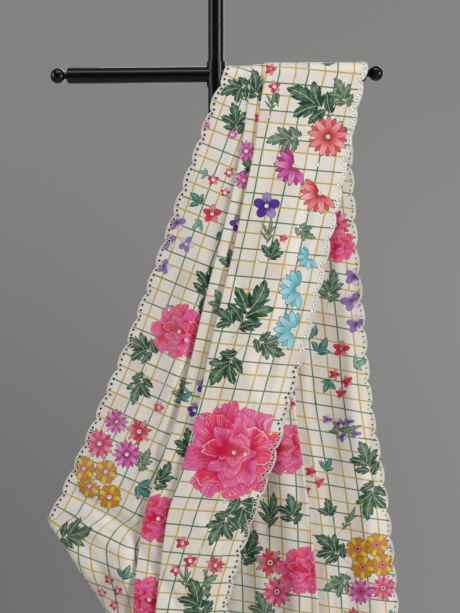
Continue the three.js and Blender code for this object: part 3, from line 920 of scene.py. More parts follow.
class Print:
    """The motifs on one panel, kept as values on its face corners that the shader draws from.

    AWAY stands for no motif, MARGIN is bare cloth round a motif that still belongs to it, PROBE a
    short step on the cloth. Bouquets start at FIRST, repeat at REPEAT, shift by up to JITTER and
    keep CLEAR of other motifs.
    """

    AWAY = 9.0
    MARGIN = 5.0
    PROBE = 4.0
    FIRST = (40.0, 30.0)
    REPEAT = (110.08, 128.0)
    JITTER = 18.0
    CLEAR = 46.0

    def __init__(self, grid: ClothGrid, corners: Array) -> None:
        """Starts with bare cloth.

        Args:
            grid: The panel.
            corners: The point index of each corner of each face.
        """
        self.grid = grid
        self.cloth = grid.cloth.reshape(-1, 3)[corners]
        self.middle = self.cloth[:, :, :2].mean(axis=1)
        shape = corners.shape
        self.used = {layer: np.zeros(shape[0], bool) for layer in Layer}
        self.spot = {layer: np.full(shape + (3,), self.AWAY) for layer in Layer}
        self.form = {layer: np.ones(shape + (3,)) for layer in Layer}
        self.ink = {layer: np.zeros(shape + (4,)) for layer in Layer}
        self.taken: list[tuple[float, float, float]] = []

    def add(self, spot: Spot) -> None:
        """Places a motif as it is seen from the front."""
        steps = ((0.0, 0.0), (self.PROBE, 0.0), (0.0, self.PROBE))
        places = (self.grid.place(spot.x + dx, spot.drop + dd) for dx, dd in steps)
        here, side, down = (np.array(place) for place in places)
        change = np.stack([(side - here) / self.PROBE, (down - here) / self.PROBE], axis=1)
        self._stamp(spot.kind, here, np.linalg.inv(change), spot.radius, spot.turn)

    def _stamp(self, kind: str, here: Array, to_view: Array, radius: float, turn: float) -> None:
        """Writes one motif on the faces that it covers.

        Args:
            kind: The motif's name.
            here: The cloth coordinates of its middle.
            to_view: The matrix from cloth coordinates to x and drop.
            radius: Its radius.
            turn: Its turn in degrees, anticlockwise as seen from the front.
        """
        motif = MOTIFS[kind]
        away = (self.middle - here) @ to_view.T
        near = np.hypot(away[:, 0], away[:, 1]) < radius + self.MARGIN
        if not near.any():
            return
        layer = min(motif.layers, key=lambda name: int((self.used[name] & near).sum()))
        faces = near & ~self.used[layer]
        view = (self.cloth[faces][:, :, :2] - here) @ to_view.T
        angle = math.radians(turn)
        x, y = view[:, :, 0] / radius, -view[:, :, 1] / radius
        self.spot[layer][faces, :, 0] = x * math.cos(angle) + y * math.sin(angle)
        self.spot[layer][faces, :, 1] = y * math.cos(angle) - x * math.sin(angle)
        self.spot[layer][faces, :, 2] = motif.spare
        self.form[layer][faces] = motif.form
        self.ink[layer][faces] = rgba(motif.ink, motif.eye.value)
        self.used[layer] |= faces
        self.taken.append((float(here[0]), float(here[1]), radius))

    def fill(self, seed: int) -> None:
        """Repeats plain bouquets wherever no motif has been placed.

        Args:
            seed: Starts the draws for this panel.
        """
        rng = np.random.default_rng(seed)
        low, high = self.middle.min(axis=0) + self.FIRST, self.middle.max(axis=0)
        for a in np.arange(low[0], high[0], self.REPEAT[0]):
            for b in np.arange(low[1], high[1], self.REPEAT[1]):
                here = np.array([a, b]) + rng.uniform(-self.JITTER, self.JITTER, 2)
                turn = float(rng.uniform(0, 360))
                bouquet = BOUQUETS[int(rng.integers(len(BOUQUETS)))]
                gaps = (math.hypot(here[0] - x, here[1] - y) - r for x, y, r in self.taken)
                if any(gap < self.CLEAR for gap in gaps):
                    continue
                c, s = math.cos(math.radians(turn)), math.sin(math.radians(turn))
                for kind, dx, dy, radius, own in bouquet:
                    place = here + np.array([dx * c - dy * s, dx * s + dy * c])
                    self._stamp(kind, place, np.eye(2), radius, own + turn)

    def write(self, mesh: bpy.types.Mesh) -> None:
        """Stores the print on a mesh's face corners."""
        stored = (
            ("spot", "FLOAT_VECTOR", "vector", self.spot),
            ("form", "FLOAT_VECTOR", "vector", self.form),
            ("ink", "FLOAT_COLOR", "color", self.ink),
        )
        for layer in Layer:
            for name, kind, field, values in stored:
                attribute = mesh.attributes.new(f"{layer.value}_{name}", kind, "CORNER")
                attribute.data.foreach_set(field, values[layer].astype(np.float32).ravel())


class Wire:
    """A shader value with sums, products and comparisons, so a pattern reads as its formula."""

    def __init__(self, socket: Socket) -> None:
        """Holds a node's socket."""
        self.socket = socket

    @property
    def tree(self) -> bpy.types.NodeTree:
        """The node tree that the value is in."""
        return self.socket.id_data

    def op(self, name: str, *others: "Wire | float") -> "Wire":
        """Makes a Math node.

        Args:
            name: The node's operation.
            others: Its second and third values.

        Returns:
            The result.
        """
        node = self.tree.nodes.new("ShaderNodeMath")
        node.operation = name
        for socket, value in zip(node.inputs, (self, *others)):
            plug(socket, value)
        return Wire(node.outputs[0])

    def __add__(self, other: "Wire | float") -> "Wire":
        """The sum."""
        return self.op("ADD", other)

    def __sub__(self, other: "Wire | float") -> "Wire":
        """The difference."""
        return self.op("SUBTRACT", other)

    def __mul__(self, other: "Wire | float") -> "Wire":
        """The product."""
        return self.op("MULTIPLY", other)

    def __truediv__(self, other: "Wire | float") -> "Wire":
        """The quotient."""
        return self.op("DIVIDE", other)

    def __pow__(self, other: "Wire | float") -> "Wire":
        """The power."""
        return self.op("POWER", other)

    def invert(self) -> "Wire":
        """One less this value."""
        return (self * -1.0) + 1.0

    def abs(self) -> "Wire":
        """The value without its sign."""
        return self.op("ABSOLUTE")

    def odd(self) -> "Wire":
        """1 where a whole number is odd, else 0."""
        return (self * 0.5).op("FRACT").above(0.2, 0.3)

    def above(self, low: "Wire | float", high: "Wire | float") -> "Wire":
        """A smooth step from 0 at low to 1 at high."""
        node = self.tree.nodes.new("ShaderNodeMapRange")
        node.interpolation_type = "SMOOTHSTEP"
        for name, value in (("Value", self), ("From Min", low), ("From Max", high)):
            plug(node.inputs[name], value)
        return Wire(node.outputs["Result"])


def plug(socket: Socket, value: Wire | float | tuple) -> None:
    """Links a wire to a socket, or sets the socket to a plain value."""
    if isinstance(value, Wire):
        value.tree.links.new(value.socket, socket)
    else:
        socket.default_value = value


def add_node(kind: str, *values: Wire | float | tuple) -> bpy.types.Node:
    """Makes a node in the tree of the first wire among its values."""
    tree = next(value.tree for value in values if isinstance(value, Wire))
    return tree.nodes.new(kind)


def vector(x: Wire | float, y: Wire | float, z: Wire | float = 0.0) -> Wire:
    """Joins three values into a vector."""
    node = add_node("ShaderNodeCombineXYZ", x, y, z)
    for socket, value in zip(node.inputs, (x, y, z)):
        plug(socket, value)
    return Wire(node.outputs[0])


def split(value: Wire) -> tuple[Wire, Wire, Wire]:
    """Parts a vector into its three values."""
    node = add_node("ShaderNodeSeparateXYZ", value)
    plug(node.inputs[0], value)
    return tuple(Wire(socket) for socket in node.outputs)


def blend(share: Wire | float, low: Wire | tuple, high: Wire | tuple) -> Wire:
    """Mixes two colours.

    Args:
        share: How much of the second colour.
        low: The first colour.
        high: The second colour.

    Returns:
        The mixed colour.
    """
    node = add_node("ShaderNodeMix", share, low, high)
    node.data_type = "RGBA"
    for index, value in ((0, share), (6, low), (7, high)):
        plug(node.inputs[index], value)
    return Wire(node.outputs[2])


def tone(colour: Wire, saturation: float, value: float) -> Wire:
    """Makes a colour stronger, darker or lighter."""
    node = add_node("ShaderNodeHueSaturation", colour)
    node.inputs["Saturation"].default_value = saturation
    node.inputs["Value"].default_value = value
    plug(node.inputs["Color"], colour)
    return Wire(node.outputs[0])


def noise(place: Wire, scale: float, detail: float = 2.0) -> Wire:
    """Smooth noise from 0 to 1 at a place."""
    node = add_node("ShaderNodeTexNoise", place)
    node.inputs["Scale"].default_value = scale
    node.inputs["Detail"].default_value = detail
    plug(node.inputs["Vector"], place)
    return Wire(node.outputs["Fac"])


def dice(seed: Wire) -> Wire:
    """A draw from 0 to 1 that is the same for the same seed."""
    node = add_node("ShaderNodeTexWhiteNoise", seed)
    node.noise_dimensions = "1D"
    plug(node.inputs["W"], seed)
    return Wire(node.outputs["Value"])


class Group:
    """A shader node group with named inputs and outputs."""

    def __init__(self, name: str, inputs: dict[str, str], outputs: dict[str, str]) -> None:
        """Makes the group's sockets.

        Args:
            name: The group's name.
            inputs: Each input's name and socket type.
            outputs: Each output's name and socket type.
        """
        self.tree = bpy.data.node_groups.new(name, "ShaderNodeTree")
        for side, sockets in (("INPUT", inputs), ("OUTPUT", outputs)):
            for label, kind in sockets.items():
                self.tree.interface.new_socket(name=label, in_out=side, socket_type=kind)
        node = self.tree.nodes.new("NodeGroupInput")
        self.given = {label: Wire(node.outputs[label]) for label in inputs}
        self._out = self.tree.nodes.new("NodeGroupOutput")

    def put(self, **values: Wire) -> None:
        """Sets outputs, each by its name in lower case."""
        for name, value in values.items():
            plug(self._out.inputs[name.capitalize()], value)

    def use(self, **values: Wire | float) -> Callable[[str], Wire]:
        """Places the group in the tree of its values.

        Args:
            values: A value for each input, by its name in lower case.

        Returns:
            A function that gives an output by its name.
        """
        node = add_node("ShaderNodeGroup", *values.values())
        node.node_tree = self.tree
        for socket in node.inputs:
            if socket.name.lower() in values:
                plug(socket, values[socket.name.lower()])
        return lambda name: Wire(node.outputs[name])


FLOAT, COLOUR, VECTOR = "NodeSocketFloat", "NodeSocketColor", "NodeSocketVector"
DRAWN = {"Color": COLOUR, "Mask": FLOAT}
RING = dict.fromkeys(("Inside", "Edge", "Along", "Across", "Pick"), FLOAT)


def petal_places(x: Wire, y: Wire, count: Wire, turn: Wire, fan: Wire) -> tuple[Wire, ...]:
    """Finds which petal of a ring a place belongs to.

    Args:
        x: The place to the right of the middle.
        y: The place above it.
        count: How many petals a full ring has.
        turn: The ring's turn in radians.
        fan: The share of a full ring that is shown.

    Returns:
        The radius, the petal's number, the place across it from -0.5 to 0.5, and 1 if it is shown.
    """
    radius = (x * x + y * y).op("SQRT").op("MAXIMUM", 0.0001)
    sector = (y.op("ARCTAN2", x) + turn) * count / (2 * math.pi)
    index = (sector + 0.5).op("FLOOR")
    shown = (index / count * 2.0).abs().above(fan + 0.02, fan).op("MINIMUM", 1.0)
    return radius, index, sector - index, shown


def petal_ring() -> Group:
    """Builds the group that draws one ring of ruffled petals.

    Returns:
        The group. Inside is its mask, Edge the distance in from the outline, Along how far out
        along the petal, Across from side to side and Pick a draw for each petal.
    """
    names = ("X", "Y", "Count", "Turn", "Size", "Notch", "Point", "Ruffle", "Fan")
    group = Group("petal ring", dict.fromkeys(names, FLOAT), RING)
    x, y, count, turn, size, notch, point, ruffle, fan = group.given.values()
    radius, index, part, shown = petal_places(x, y, count, turn, fan)
    across = part * 2.0
    around = vector(x / radius, y / radius, size)
    wobble = (noise(around, 3.1, 3.0) - 0.5) * ruffle + 1.0
    outline = ((across.abs() ** point) * notch.invert()).invert() * size * wobble
    edge = outline - radius
    pick = dice((index + count).op("MODULO", count) + size * 7.0 + count)
    inside = edge.above(-0.012, 0.012) * shown
    group.put(inside=inside, edge=edge, along=radius / outline, across=across, pick=pick)
    return group


def oval_ring() -> Group:
    """Builds the group that draws one ring of oval petals, each apart from its neighbours.

    Returns:
        The group. Inside is its mask, Edge falls from 1 in a petal's middle to 0 on its outline,
        Along goes from 0 to 1 outwards, Across from side to side and Pick is 1 on odd petals.
    """
    names = ("X", "Y", "Count", "Turn", "Reach", "Full", "Taper", "Fan")
    group = Group("oval petal ring", dict.fromkeys(names, FLOAT), RING)
    x, y, count, turn, reach, full, taper, fan = group.given.values()
    radius, index, part, shown = petal_places(x, y, count, turn, fan)
    along = (radius - reach * 0.53) / (reach * 0.47)
    breadth = full * reach * (0.6 * math.pi) / count * (taper * along).invert()
    across = part * (2 * math.pi) / count * radius / breadth
    edge = (along * along + across * across).invert()
    inside = edge.above(-0.02, 0.06) * shown
    group.put(inside=inside, edge=edge, along=along * 0.5 + 0.5, across=across, pick=index.odd())
    return group


EYE_COLOURS = ((0.0, "b07a2c"), (0.25, "ea6a88"), (0.55, "eadfcf"), (0.85, "6c4a86"))


def eye_ramp(kind: Wire) -> Wire:
    """The colour round the middle of a bloom, by its kind of eye."""
    node = add_node("ShaderNodeValToRGB", kind)
    ramp = node.color_ramp
    ramp.interpolation = "CONSTANT"
    while len(ramp.elements) < len(EYE_COLOURS):
        ramp.elements.new(1.0)
    for element, (position, code) in zip(ramp.elements, EYE_COLOURS):
        element.position = position
        element.color = rgba(code)
    plug(node.inputs[0], kind)
    return Wire(node.outputs[0])


def bloom_group(ring: Group) -> Group:
    """Builds the group that draws a simple flower: two rings of petals and an eye.

    Args:
        ring: The group for one ring of petals.

    Returns:
        The group, with the flower's colour and its mask.
    """
    group = Group("bloom", {"Spot": VECTOR, "Form": VECTOR, "Ink": COLOUR, "Eye": FLOAT}, DRAWN)
    spot, form, ink, eye_kind = group.given.values()
    x, y, fan = split(spot)
    count, full, taper = split(form)
    many = count.above(6.0, 8.0)
    eyes = (Eye.PINK, Eye.DARK)
    golden, pearly = ((eye_kind - eye.value).abs().above(0.15, 0.05) for eye in eyes)
    shared = {"x": x, "y": y, "count": count, "full": full, "taper": taper, "fan": fan}
    half_turn = count.op("POWER", -1.0) * math.pi
    behind = ring.use(turn=half_turn, reach=many * 0.34 + 0.6, **shared)
    front = ring.use(turn=0.0, reach=1.0, **shared)
    deep, outline = tone(ink, 1.25, 0.66), tone(ink, 1.2, 0.2)
    amber = rgba("bf7420")
    light = blend(golden, (1.0, 0.86, 0.84, 1.0), rgba("e6d24c"))
    low = blend(many * 0.12, ink, blend(golden, light, amber))
    low = blend(golden * 0.3, low, amber)
    pale = blend((pearly + golden) * 0.45 + 0.32, ink, light)
    back = blend(behind("Along").above(0.2, 0.95), deep, blend(0.4, ink, deep))
    back = blend(behind("Edge").above(0.3, 0.12), back, outline)
    streak = (front("Across") * 9.0).op("COSINE") * 0.5 + 0.5
    streak = streak * front("Along").above(0.9, 0.3) * 0.35
    petal = blend(front("Pick").above(0.45, 0.55), low, pale)
    petal = blend(front("Along").above(0.05, 0.6), deep, petal)
    petal = blend(streak, petal, deep)
    petal = blend(front("Edge").above(0.34, 0.14) * (many * 0.4 + 0.6), petal, outline)
    colour = blend(front("Inside"), back, petal)
    radius = (x * x + y * y).op("SQRT")
    inward = golden * 0.1 + 0.2 - radius
    eye_colour = blend(radius.above(0.1, 0.08), eye_ramp(eye_kind), rgba("5a3420"))
    eye_colour = blend(inward.above(0.05, 0.03), eye_colour, outline)
    eye = inward.above(0.0, 0.02)
    petals = behind("Inside").op("MAXIMUM", front("Inside"))
    mask = petals.op("MAXIMUM", eye * fan.above(0.9, 0.95))
    group.put(color=blend(eye, colour, eye_colour), mask=mask)
    return group


class PeonyRing(NamedTuple):
    """One ring of a full bloom: its petals, turn, size and place beside the middle."""

    count: int
    turn: float
    size: float
    dx: float
    dy: float


PEONY_RINGS = (
    PeonyRing(8, 0.3, 0.97, 0.0, 0.0),
    PeonyRing(7, 1.1, 0.8, 0.05, 0.04),
    PeonyRing(7, 2.4, 0.64, -0.05, 0.06),
    PeonyRing(6, 0.7, 0.47, 0.08, -0.05),
    PeonyRing(5, 1.9, 0.3, 0.02, -0.06),
)


def peony_group(ring: Group) -> Group:
    """Builds the group that draws a full, ruffled flower from rings of petals.

    Args:
        ring: The group for one ring of petals.

    Returns:
        The group, with the flower's colour and its mask.
    """
    group = Group("full bloom", {"Spot": VECTOR, "Ink": COLOUR}, DRAWN)
    spot, ink = group.given.values()
    x0, y0, _ = split(spot)
    x = x0 + (noise(vector(x0, y0, 3.0), 2.3, 1.0) - 0.5) * 0.34
    y = y0 + (noise(vector(y0, x0, 9.0), 2.3, 1.0) - 0.5) * 0.34
    crimson = tone(blend(0.5, ink, rgba("d81034")), 1.2, 0.84)
    orchid, cream = rgba("ee6cb2"), rgba("f6cfcb")
    colour = mask = None
    for part in PEONY_RINGS:
        petal = ring.use(
            x=x + part.dx, y=y + part.dy, count=part.count, turn=part.turn, size=part.size,
            notch=0.74, point=2.4, ruffle=0.5, fan=1.0,
        )
        inside, along, edge, pick = (petal(name) for name in ("Inside", "Along", "Edge", "Pick"))
        vein = vector(petal("Across") * 4.5 + part.size * 9.0, along * 0.5, pick)
        fine = noise(vein, 5.0, 2.0)
        body = blend(along.above(0.35, 0.8), crimson, ink)
        body = blend(pick.above(0.5, 0.6) * along.above(0.4, 0.85) * 0.8, body, orchid)
        body = blend(fine.above(0.5, 0.6) * along.above(1.05, 0.7) * 0.75, body, crimson)
        body = blend(fine.above(0.45, 0.36) * along.above(0.5, 0.8) * 0.55, body, cream)
        body = blend(edge.above(0.04, 0.02) * pick.above(0.62, 0.4) * 0.8, body, cream)
        body = blend(edge.above(0.016, 0.004), body, crimson)
        if colour is None:
            colour, mask = body, inside
            continue
        shade = (edge * -1.0).above(0.0, 0.07).invert() * edge.above(0.0, 0.001).invert()
        colour = blend(inside, blend(shade * 0.5, colour, crimson), body)
    group.put(color=colour, mask=mask)
    return group


def leaflet_group() -> Group:
    """Builds the group that draws one broad, lobed leaflet pointing along X from 0 to 1.

    Returns:
        The group, with the leaflet's colour and its mask.
    """
    names = dict.fromkeys(("X", "Y", "Slim", "Lobes", "Seed"), FLOAT)
    group = Group("leaflet", names | {"Ink": COLOUR}, DRAWN)
    along, across, slim, lobes, seed, ink = group.given.values()
    across = across + (along * math.pi).op("SINE") * 0.07
    off = across.abs()
    wave = along * 2.7 - off * 2.2 + seed * 0.23 + 0.1
    tooth = wave.op("FRACT")
    lobe = (tooth**0.55) * tooth.above(1.0, 0.88)
    swell = ((along.op("MAXIMUM", 0.0).op("MINIMUM", 1.0) ** 0.8) * math.pi).op("SINE")
    width = (swell.op("MAXIMUM", 0.0) ** 0.8) * slim * (lobes * lobe.invert()).invert()
    inside = width - off
    dark, black = tone(ink, 1.15, 0.5), tone(ink, 1.1, 0.16)
    light = blend(0.26, ink, rgba("a9d2b4"))
    wash = noise(vector(wave * 1.4, off * 5.0, seed), 1.6, 2.0)
    vein = (tooth - 0.62).abs().above(0.075, 0.03) * off.above(0.01, 0.03) * 0.85
    body = blend(across.above(-0.01, 0.01), ink, dark)
    body = blend(wash.above(0.42, 0.62), body, light)
    body = blend(along.above(0.45, 0.0) * 0.7, body, dark)
    body = blend(vein, body, black)
    body = blend(off.above(0.013, 0.006) * along.above(0.9, 0.8), body, rgba("dcc6bb"))
    mask = inside.above(-0.004, 0.006) * along.above(0.0, 0.01) * along.above(1.0, 0.99)
    group.put(color=blend(inside.above(0.026, 0.012), body, black), mask=mask)
    return group


class LeafletPair(NamedTuple):
    """Where a pair of leaflets leaves the stem, and how long they are."""

    order: int
    base: float
    length: float


LEAFLETS = (LeafletPair(0, -0.06, 1.04), LeafletPair(1, -0.2, 0.86), LeafletPair(2, -0.52, 0.7))


def leaf_group() -> Group:
    """Builds the group that draws a spray: an end leaflet and up to two pairs along a stem.

    Returns:
        The group, with the leaves' colour and their mask.
    """
    group = Group("leaf spray", {"Spot": VECTOR, "Form": VECTOR, "Ink": COLOUR}, DRAWN)
    leaflet = leaflet_group()
    spot, form, ink = group.given.values()
    x, y, angle = split(spot)
    pairs, slim, lobes = split(form)
    side = y.op("SIGN")
    nearest = closest = None
    for order, base, length in LEAFLETS:
        dx, dy = x - base, y
        if order:
            turned = angle * (1.0 + 0.28 * order) + side * (0.08 * order)
            cosine, sine = turned.op("COSINE"), turned.op("SINE")
            dx, dy = dx - side * (0.05 * order), y.abs()
            dx, dy = dx * cosine + dy * sine, dy * cosine - dx * sine
        along, across = dx / length, dy / length
        away = (along - 0.5) ** 2.0 + (across * 2.0) ** 2.0
        place = vector(along, across, side * 0.7 + order * 1.7)
        if nearest is None:
            nearest, closest = place, away
            continue
        away = away + pairs.above(order - 0.4, order - 0.6) * 9.0
        nearest = blend(away.op("LESS_THAN", closest), nearest, place)
        closest = away.op("MINIMUM", closest)
    along, across, seed = split(nearest)
    drawn = leaflet.use(x=along, y=across, slim=slim, lobes=lobes, seed=seed, ink=ink)
    stem = y.abs().above(0.016, 0.008) * x.above(-0.98, -0.96) * x.above(0.1, 0.06)
    stalk = blend(y.abs().above(0.006, 0.012), rgba("cfc3ab"), tone(ink, 1.1, 0.4))
    colour = blend(drawn("Mask"), stalk, drawn("Color"))
    group.put(color=colour, mask=stem.op("MAXIMUM", drawn("Mask")))
    return group


CHECK_SHIFTS = (0.31, 0.77)


def check_group() -> Group:
    """Builds the group that draws the woven check of green and mustard lines.

    Returns:
        The group, with the lines' colour and their mask.
    """
    group = Group("windowpane check", {"Cloth": VECTOR, "Pitch": FLOAT, "Line": FLOAT}, DRAWN)
    cloth, pitch, line = group.given.values()
    a, b, _ = split(cloth)
    found: list[tuple[Wire, Wire]] = []
    for value, other, shift in zip((a, b), (b, a), CHECK_SHIFTS):
        wander = noise(vector(value * 0.02, other * 0.012, shift), 1.0, 1.0) - 0.5
        cell = (value + wander * 2.4) / pitch + shift
        index = (cell + 0.5).op("FLOOR")
        odd = index.odd()
        away = (cell - index + odd * 0.12 - 0.06).abs() * pitch
        colour = blend(odd, rgba("3c7d45"), rgba("c6ac2c"))
        found.append((away.above(line + 0.5, line - 0.1), colour))
    (mask_a, colour_a), (mask_b, colour_b) = found
    group.put(color=blend(mask_b, colour_a, colour_b), mask=mask_a.op("MAXIMUM", mask_b))
    return group


class Finish:
    """A material under way: its node tree and its Principled shader."""

    def __init__(self, name: str) -> None:
        """Makes the material."""
        self.material = bpy.data.materials.new(name)
        self.material.use_nodes = True
        self.tree = self.material.node_tree
        self.shader = self.tree.nodes["Principled BSDF"]

    def here(self) -> Wire:
        """The place on the object, in metres."""
        return Wire(self.tree.nodes.new("ShaderNodeTexCoord").outputs["Object"])

    def attribute(self, name: str, output: str = "Vector") -> Wire:
        """Reads a mesh attribute."""
        node = self.tree.nodes.new("ShaderNodeAttribute")
        node.attribute_name = name
        return Wire(node.outputs[output])

    def surface(self, values: dict[str, Wire | float]) -> None:
        """Sets or links the shader's sockets by their names."""
        for name, value in values.items():
            plug(self.shader.inputs[name], value)

    def emboss(self, height: Wire, strength: float, distance: float) -> None:
        """Gives the surface a fine relief.

        Args:
            height: The relief.
            strength: How much of it is seen.
            distance: Its height in metres.
        """
        node = self.tree.nodes.new("ShaderNodeBump")
        node.inputs["Strength"].default_value = strength
        node.inputs["Distance"].default_value = distance
        plug(node.inputs["Height"], height)
        self.surface({"Normal": Wire(node.outputs[0])})


@dataclass(frozen=True)
class Silk:
    """The printed silk: cream ground, check, leaves and flowers. Sizes are in millimetres."""

    ground: str = "f2eae0"
    wash: str = "e9c9bd"
    slub: str = "b9b2a2"
    thread: str = "f3f0e8"
    pitch: float = 28.0
    line: float = 1.2
    thread_edge: float = 1.6
    soft_edge: float = 0.3
    roughness: float = 0.46
    yarn: float = 0.8

    def material(self) -> bpy.types.Material:
        """Builds the material.

        Returns:
            The material.
        """
        finish = Finish("printed silk")
        cloth = finish.attribute("cloth")
        a, b, inside = split(cloth)
        shifted = ((value / self.pitch + shift) for value, shift in zip((a, b), CHECK_SHIFTS))
        squares = [value.op("FLOOR") for value in shifted]
        patch = noise(vector(*squares), 0.37, 1.0).above(0.5, 0.7) * 0.5
        colour = blend(patch, rgba(self.ground), rgba(self.wash))
        slub = noise(vector(a * 0.05, b * 1.6), 1.0, 3.0).above(0.35, 0.75) * 0.06
        colour = blend(slub, colour, rgba(self.slub))
        lines = check_group().use(cloth=cloth, pitch=self.pitch, line=self.line)
        colour = blend(lines("Mask") * 0.96, colour, lines("Color"))
        colour = self._motifs(finish, colour)
        edge = inside.above(self.thread_edge + self.soft_edge, self.thread_edge)
        colour = blend(edge, colour, rgba(self.thread))
        finish.surface({
            "Base Color": colour, "Roughness": self.roughness,
            "Sheen Weight": 0.25, "Sheen Roughness": 0.4,
        })
        warp, weft = ((value * (2 * math.pi / self.yarn)).op("SINE") for value in (a, b))
        creping = noise(vector(a * 0.22, b * 2.2), 1.0) * 1.6
        finish.emboss(warp * weft * 0.5 + creping, 0.22, 0.00008)
        return finish.material

    def _motifs(self, finish: Finish, colour: Wire) -> Wire:
        """Lays the print's layers on a colour, from the bottom up."""
        leaf, bloom, peony = leaf_group(), bloom_group(oval_ring()), peony_group(petal_ring())
        for layer in Layer:
            values = {"spot": finish.attribute(f"{layer.value}_spot")}
            values["ink"] = finish.attribute(f"{layer.value}_ink", "Color")
            group = peony
            if layer is not Layer.PEONY:
                group = leaf if layer in LEAVES else bloom
                values["form"] = finish.attribute(f"{layer.value}_form")
            if group is bloom:
                values["eye"] = finish.attribute(f"{layer.value}_ink", "Alpha")
            drawn = group.use(**values)
            colour = blend(drawn("Mask"), colour, drawn("Color"))
        return colour


@dataclass(frozen=True)
class Plain:
    """A plain finish: two shades that a noise mixes, and a roughness."""

    name: str
    light: str
    dark: str
    cloud: float
    detail: float = 2.0
    roughness: float = 0.5

    def material(self) -> bpy.types.Material:
        """Builds the material.

        Returns:
            The material.
        """
        finish = Finish(self.name)
        here = finish.here()
        cloud = noise(here, self.cloud, self.detail)
        colour = blend(cloud, rgba(self.light), rgba(self.dark))
        finish.surface({"Base Color": colour, "Roughness": self.roughness})
        self.add(finish, here, cloud)
        return finish.material

    def add(self, finish: Finish, here: Wire, cloud: Wire) -> None:
        """Adds what a kind of finish has besides its colour. A plain one has nothing."""


@dataclass(frozen=True)
class Enamel(Plain):
    """The stand's black gloss finish, a little dusty and with a faint orange peel."""

    def add(self, finish: Finish, here: Wire, cloud: Wire) -> None:
        """Adds the dust, the thin coat and the peel."""
        dust = noise(here, 90.0, 4.0).above(0.5, 0.8) * 0.14
        finish.surface({
            "Roughness": dust + self.roughness,
            "Coat Weight": 0.1, "Coat Roughness": 0.08, "Specular IOR Level": 0.32,
        })
        finish.emboss(noise(here, 420.0), 0.03, 0.0002)


@dataclass(frozen=True)
class Mirror(Plain):
    """A sewn mirror disc: silvered, with a faint clouding."""

    roughness: float = 0.06
    silver: float = 0.35

    def add(self, finish: Finish, here: Wire, cloud: Wire) -> None:
        """Adds the silver and its haze."""
        haze = noise(here, 300.0) * 0.15
        finish.surface({"Metallic": self.silver, "Roughness": haze + self.roughness})


@dataclass(frozen=True)
class Thread(Plain):
    """Twisted embroidery thread."""

    roughness: float = 0.6

    def add(self, finish: Finish, here: Wire, cloud: Wire) -> None:
        """Adds the twist."""
        finish.emboss(cloud, 0.3, 0.0002)


ENAMEL = Enamel("black gloss enamel", "030304", "070708", 14.0, 3.0, 0.2)
# The near-white disc and the dark one are lit and shaded copies of one mirror: the first is a
# painted bright reflection of the lamps, the second a painted reflection of the dark room.
PAINTED_BRIGHT_MIRROR = Mirror("mirror disc", "f6f7f8", "cfd2d6", 160.0)
PAINTED_DARK_MIRROR = Mirror("dusky mirror disc", "3c3e42", "17181a", 160.0, silver=0.2)
WHITE_THREAD = Thread("embroidery thread", "f4f1ea", "d5cfc2", 700.0)
DARK_THREAD = Thread("dark embroidery thread", "3a3a3c", "19191b", 700.0)
PALE_FLOOR = Plain("pale floor", "b9b9b6", "c3c3c0", 2.0, roughness=0.9)


def grid_mesh(name: str, points: Array) -> bpy.types.Mesh:
    """Makes a mesh from rows of points, by moving the points of a flat grid.

    Args:
        name: The mesh's name.
        points: An array of rows, columns and x, y, z, in millimetres.

    Returns:
        The mesh, in metres, with its points in the array's order.
    """
    rows, columns = points.shape[:2]
    bm = bmesh.new()
    bmesh.ops.create_grid(bm, x_segments=columns - 1, y_segments=rows - 1, size=1.0)
    mesh = bpy.data.meshes.new(name)
    bm.to_mesh(mesh)
    bm.free()
    flat = np.empty(len(mesh.vertices) * 3, np.float32)
    mesh.vertices.foreach_get("co", flat)
    flat = flat.reshape(-1, 3)
    i = np.rint((flat[:, 0] + 1) / 2 * (columns - 1)).astype(int)
    j = np.rint((flat[:, 1] + 1) / 2 * (rows - 1)).astype(int)
    mesh.vertices.foreach_set("co", (points[j, i] * MM).astype(np.float32).ravel())
    mesh.polygons.foreach_set("use_smooth", np.ones(len(mesh.polygons), bool))
    mesh.update()
    return mesh


def put(mesh: bpy.types.Mesh, *materials: bpy.types.Material) -> bpy.types.Object:
    """Links a mesh to the scene as an object with its materials."""
    made = bpy.data.objects.new(mesh.name, mesh)
    bpy.context.scene.collection.objects.link(made)
    for material in materials:
        mesh.materials.append(material)
    return made


def unit(vectors: Array) -> Array:
    """Vectors at length 1."""
    return vectors / np.maximum(np.linalg.norm(vectors, axis=-1, keepdims=True), 1e-9)


@dataclass(frozen=True)
class PanelSpec:
    """One piece of cloth: its panel, its side, the nodes that it stands for and its motifs.

    seed starts its draws; its edge's mirrors are painted dark, a painted reflection, below the last
    field.
    """

    name: str
    panel: Panel
    back: bool
    nodes: tuple[str, ...]
    spots: tuple[Spot, ...]
    seed: int
    painted_dark_below: float = 2000.0


PANELS = (
    PanelSpec(
        "silk_front_left", Panel.LEFT, False,
        ("saree_front_left_panel", "border_front_left"), FRONT_LEFT_SPOTS, 3,
    ),
    PanelSpec(
        "silk_front_pleats", Panel.PLEATS, False,
        ("saree_front_pleats", "saree_over_arm"), FRONT_PLEATS_SPOTS, 5,
    ),
    # More than 600 mm below its border's top, this panel's mirrors are painted dark, a painted
    # reflection.
    PanelSpec(
        "silk_front_right", Panel.RIGHT, False,
        ("saree_front_right_panel", "border_front_right"), FRONT_RIGHT_SPOTS, 7, 600.0,
    ),
    PanelSpec(
        "silk_back_inner", Panel.LEFT, True,
        ("saree_back_inner_panel", "border_back_left"), BACK_INNER_SPOTS, 11,
    ),
    PanelSpec("silk_back_pleats", Panel.PLEATS, True, ("saree_back_pleats",), (), 13),
    PanelSpec(
        "silk_back_outer", Panel.RIGHT, True,
        ("saree_back_outer_panel", "border_back_right"), BACK_RIGHT_SPOTS, 17,
    ),
)


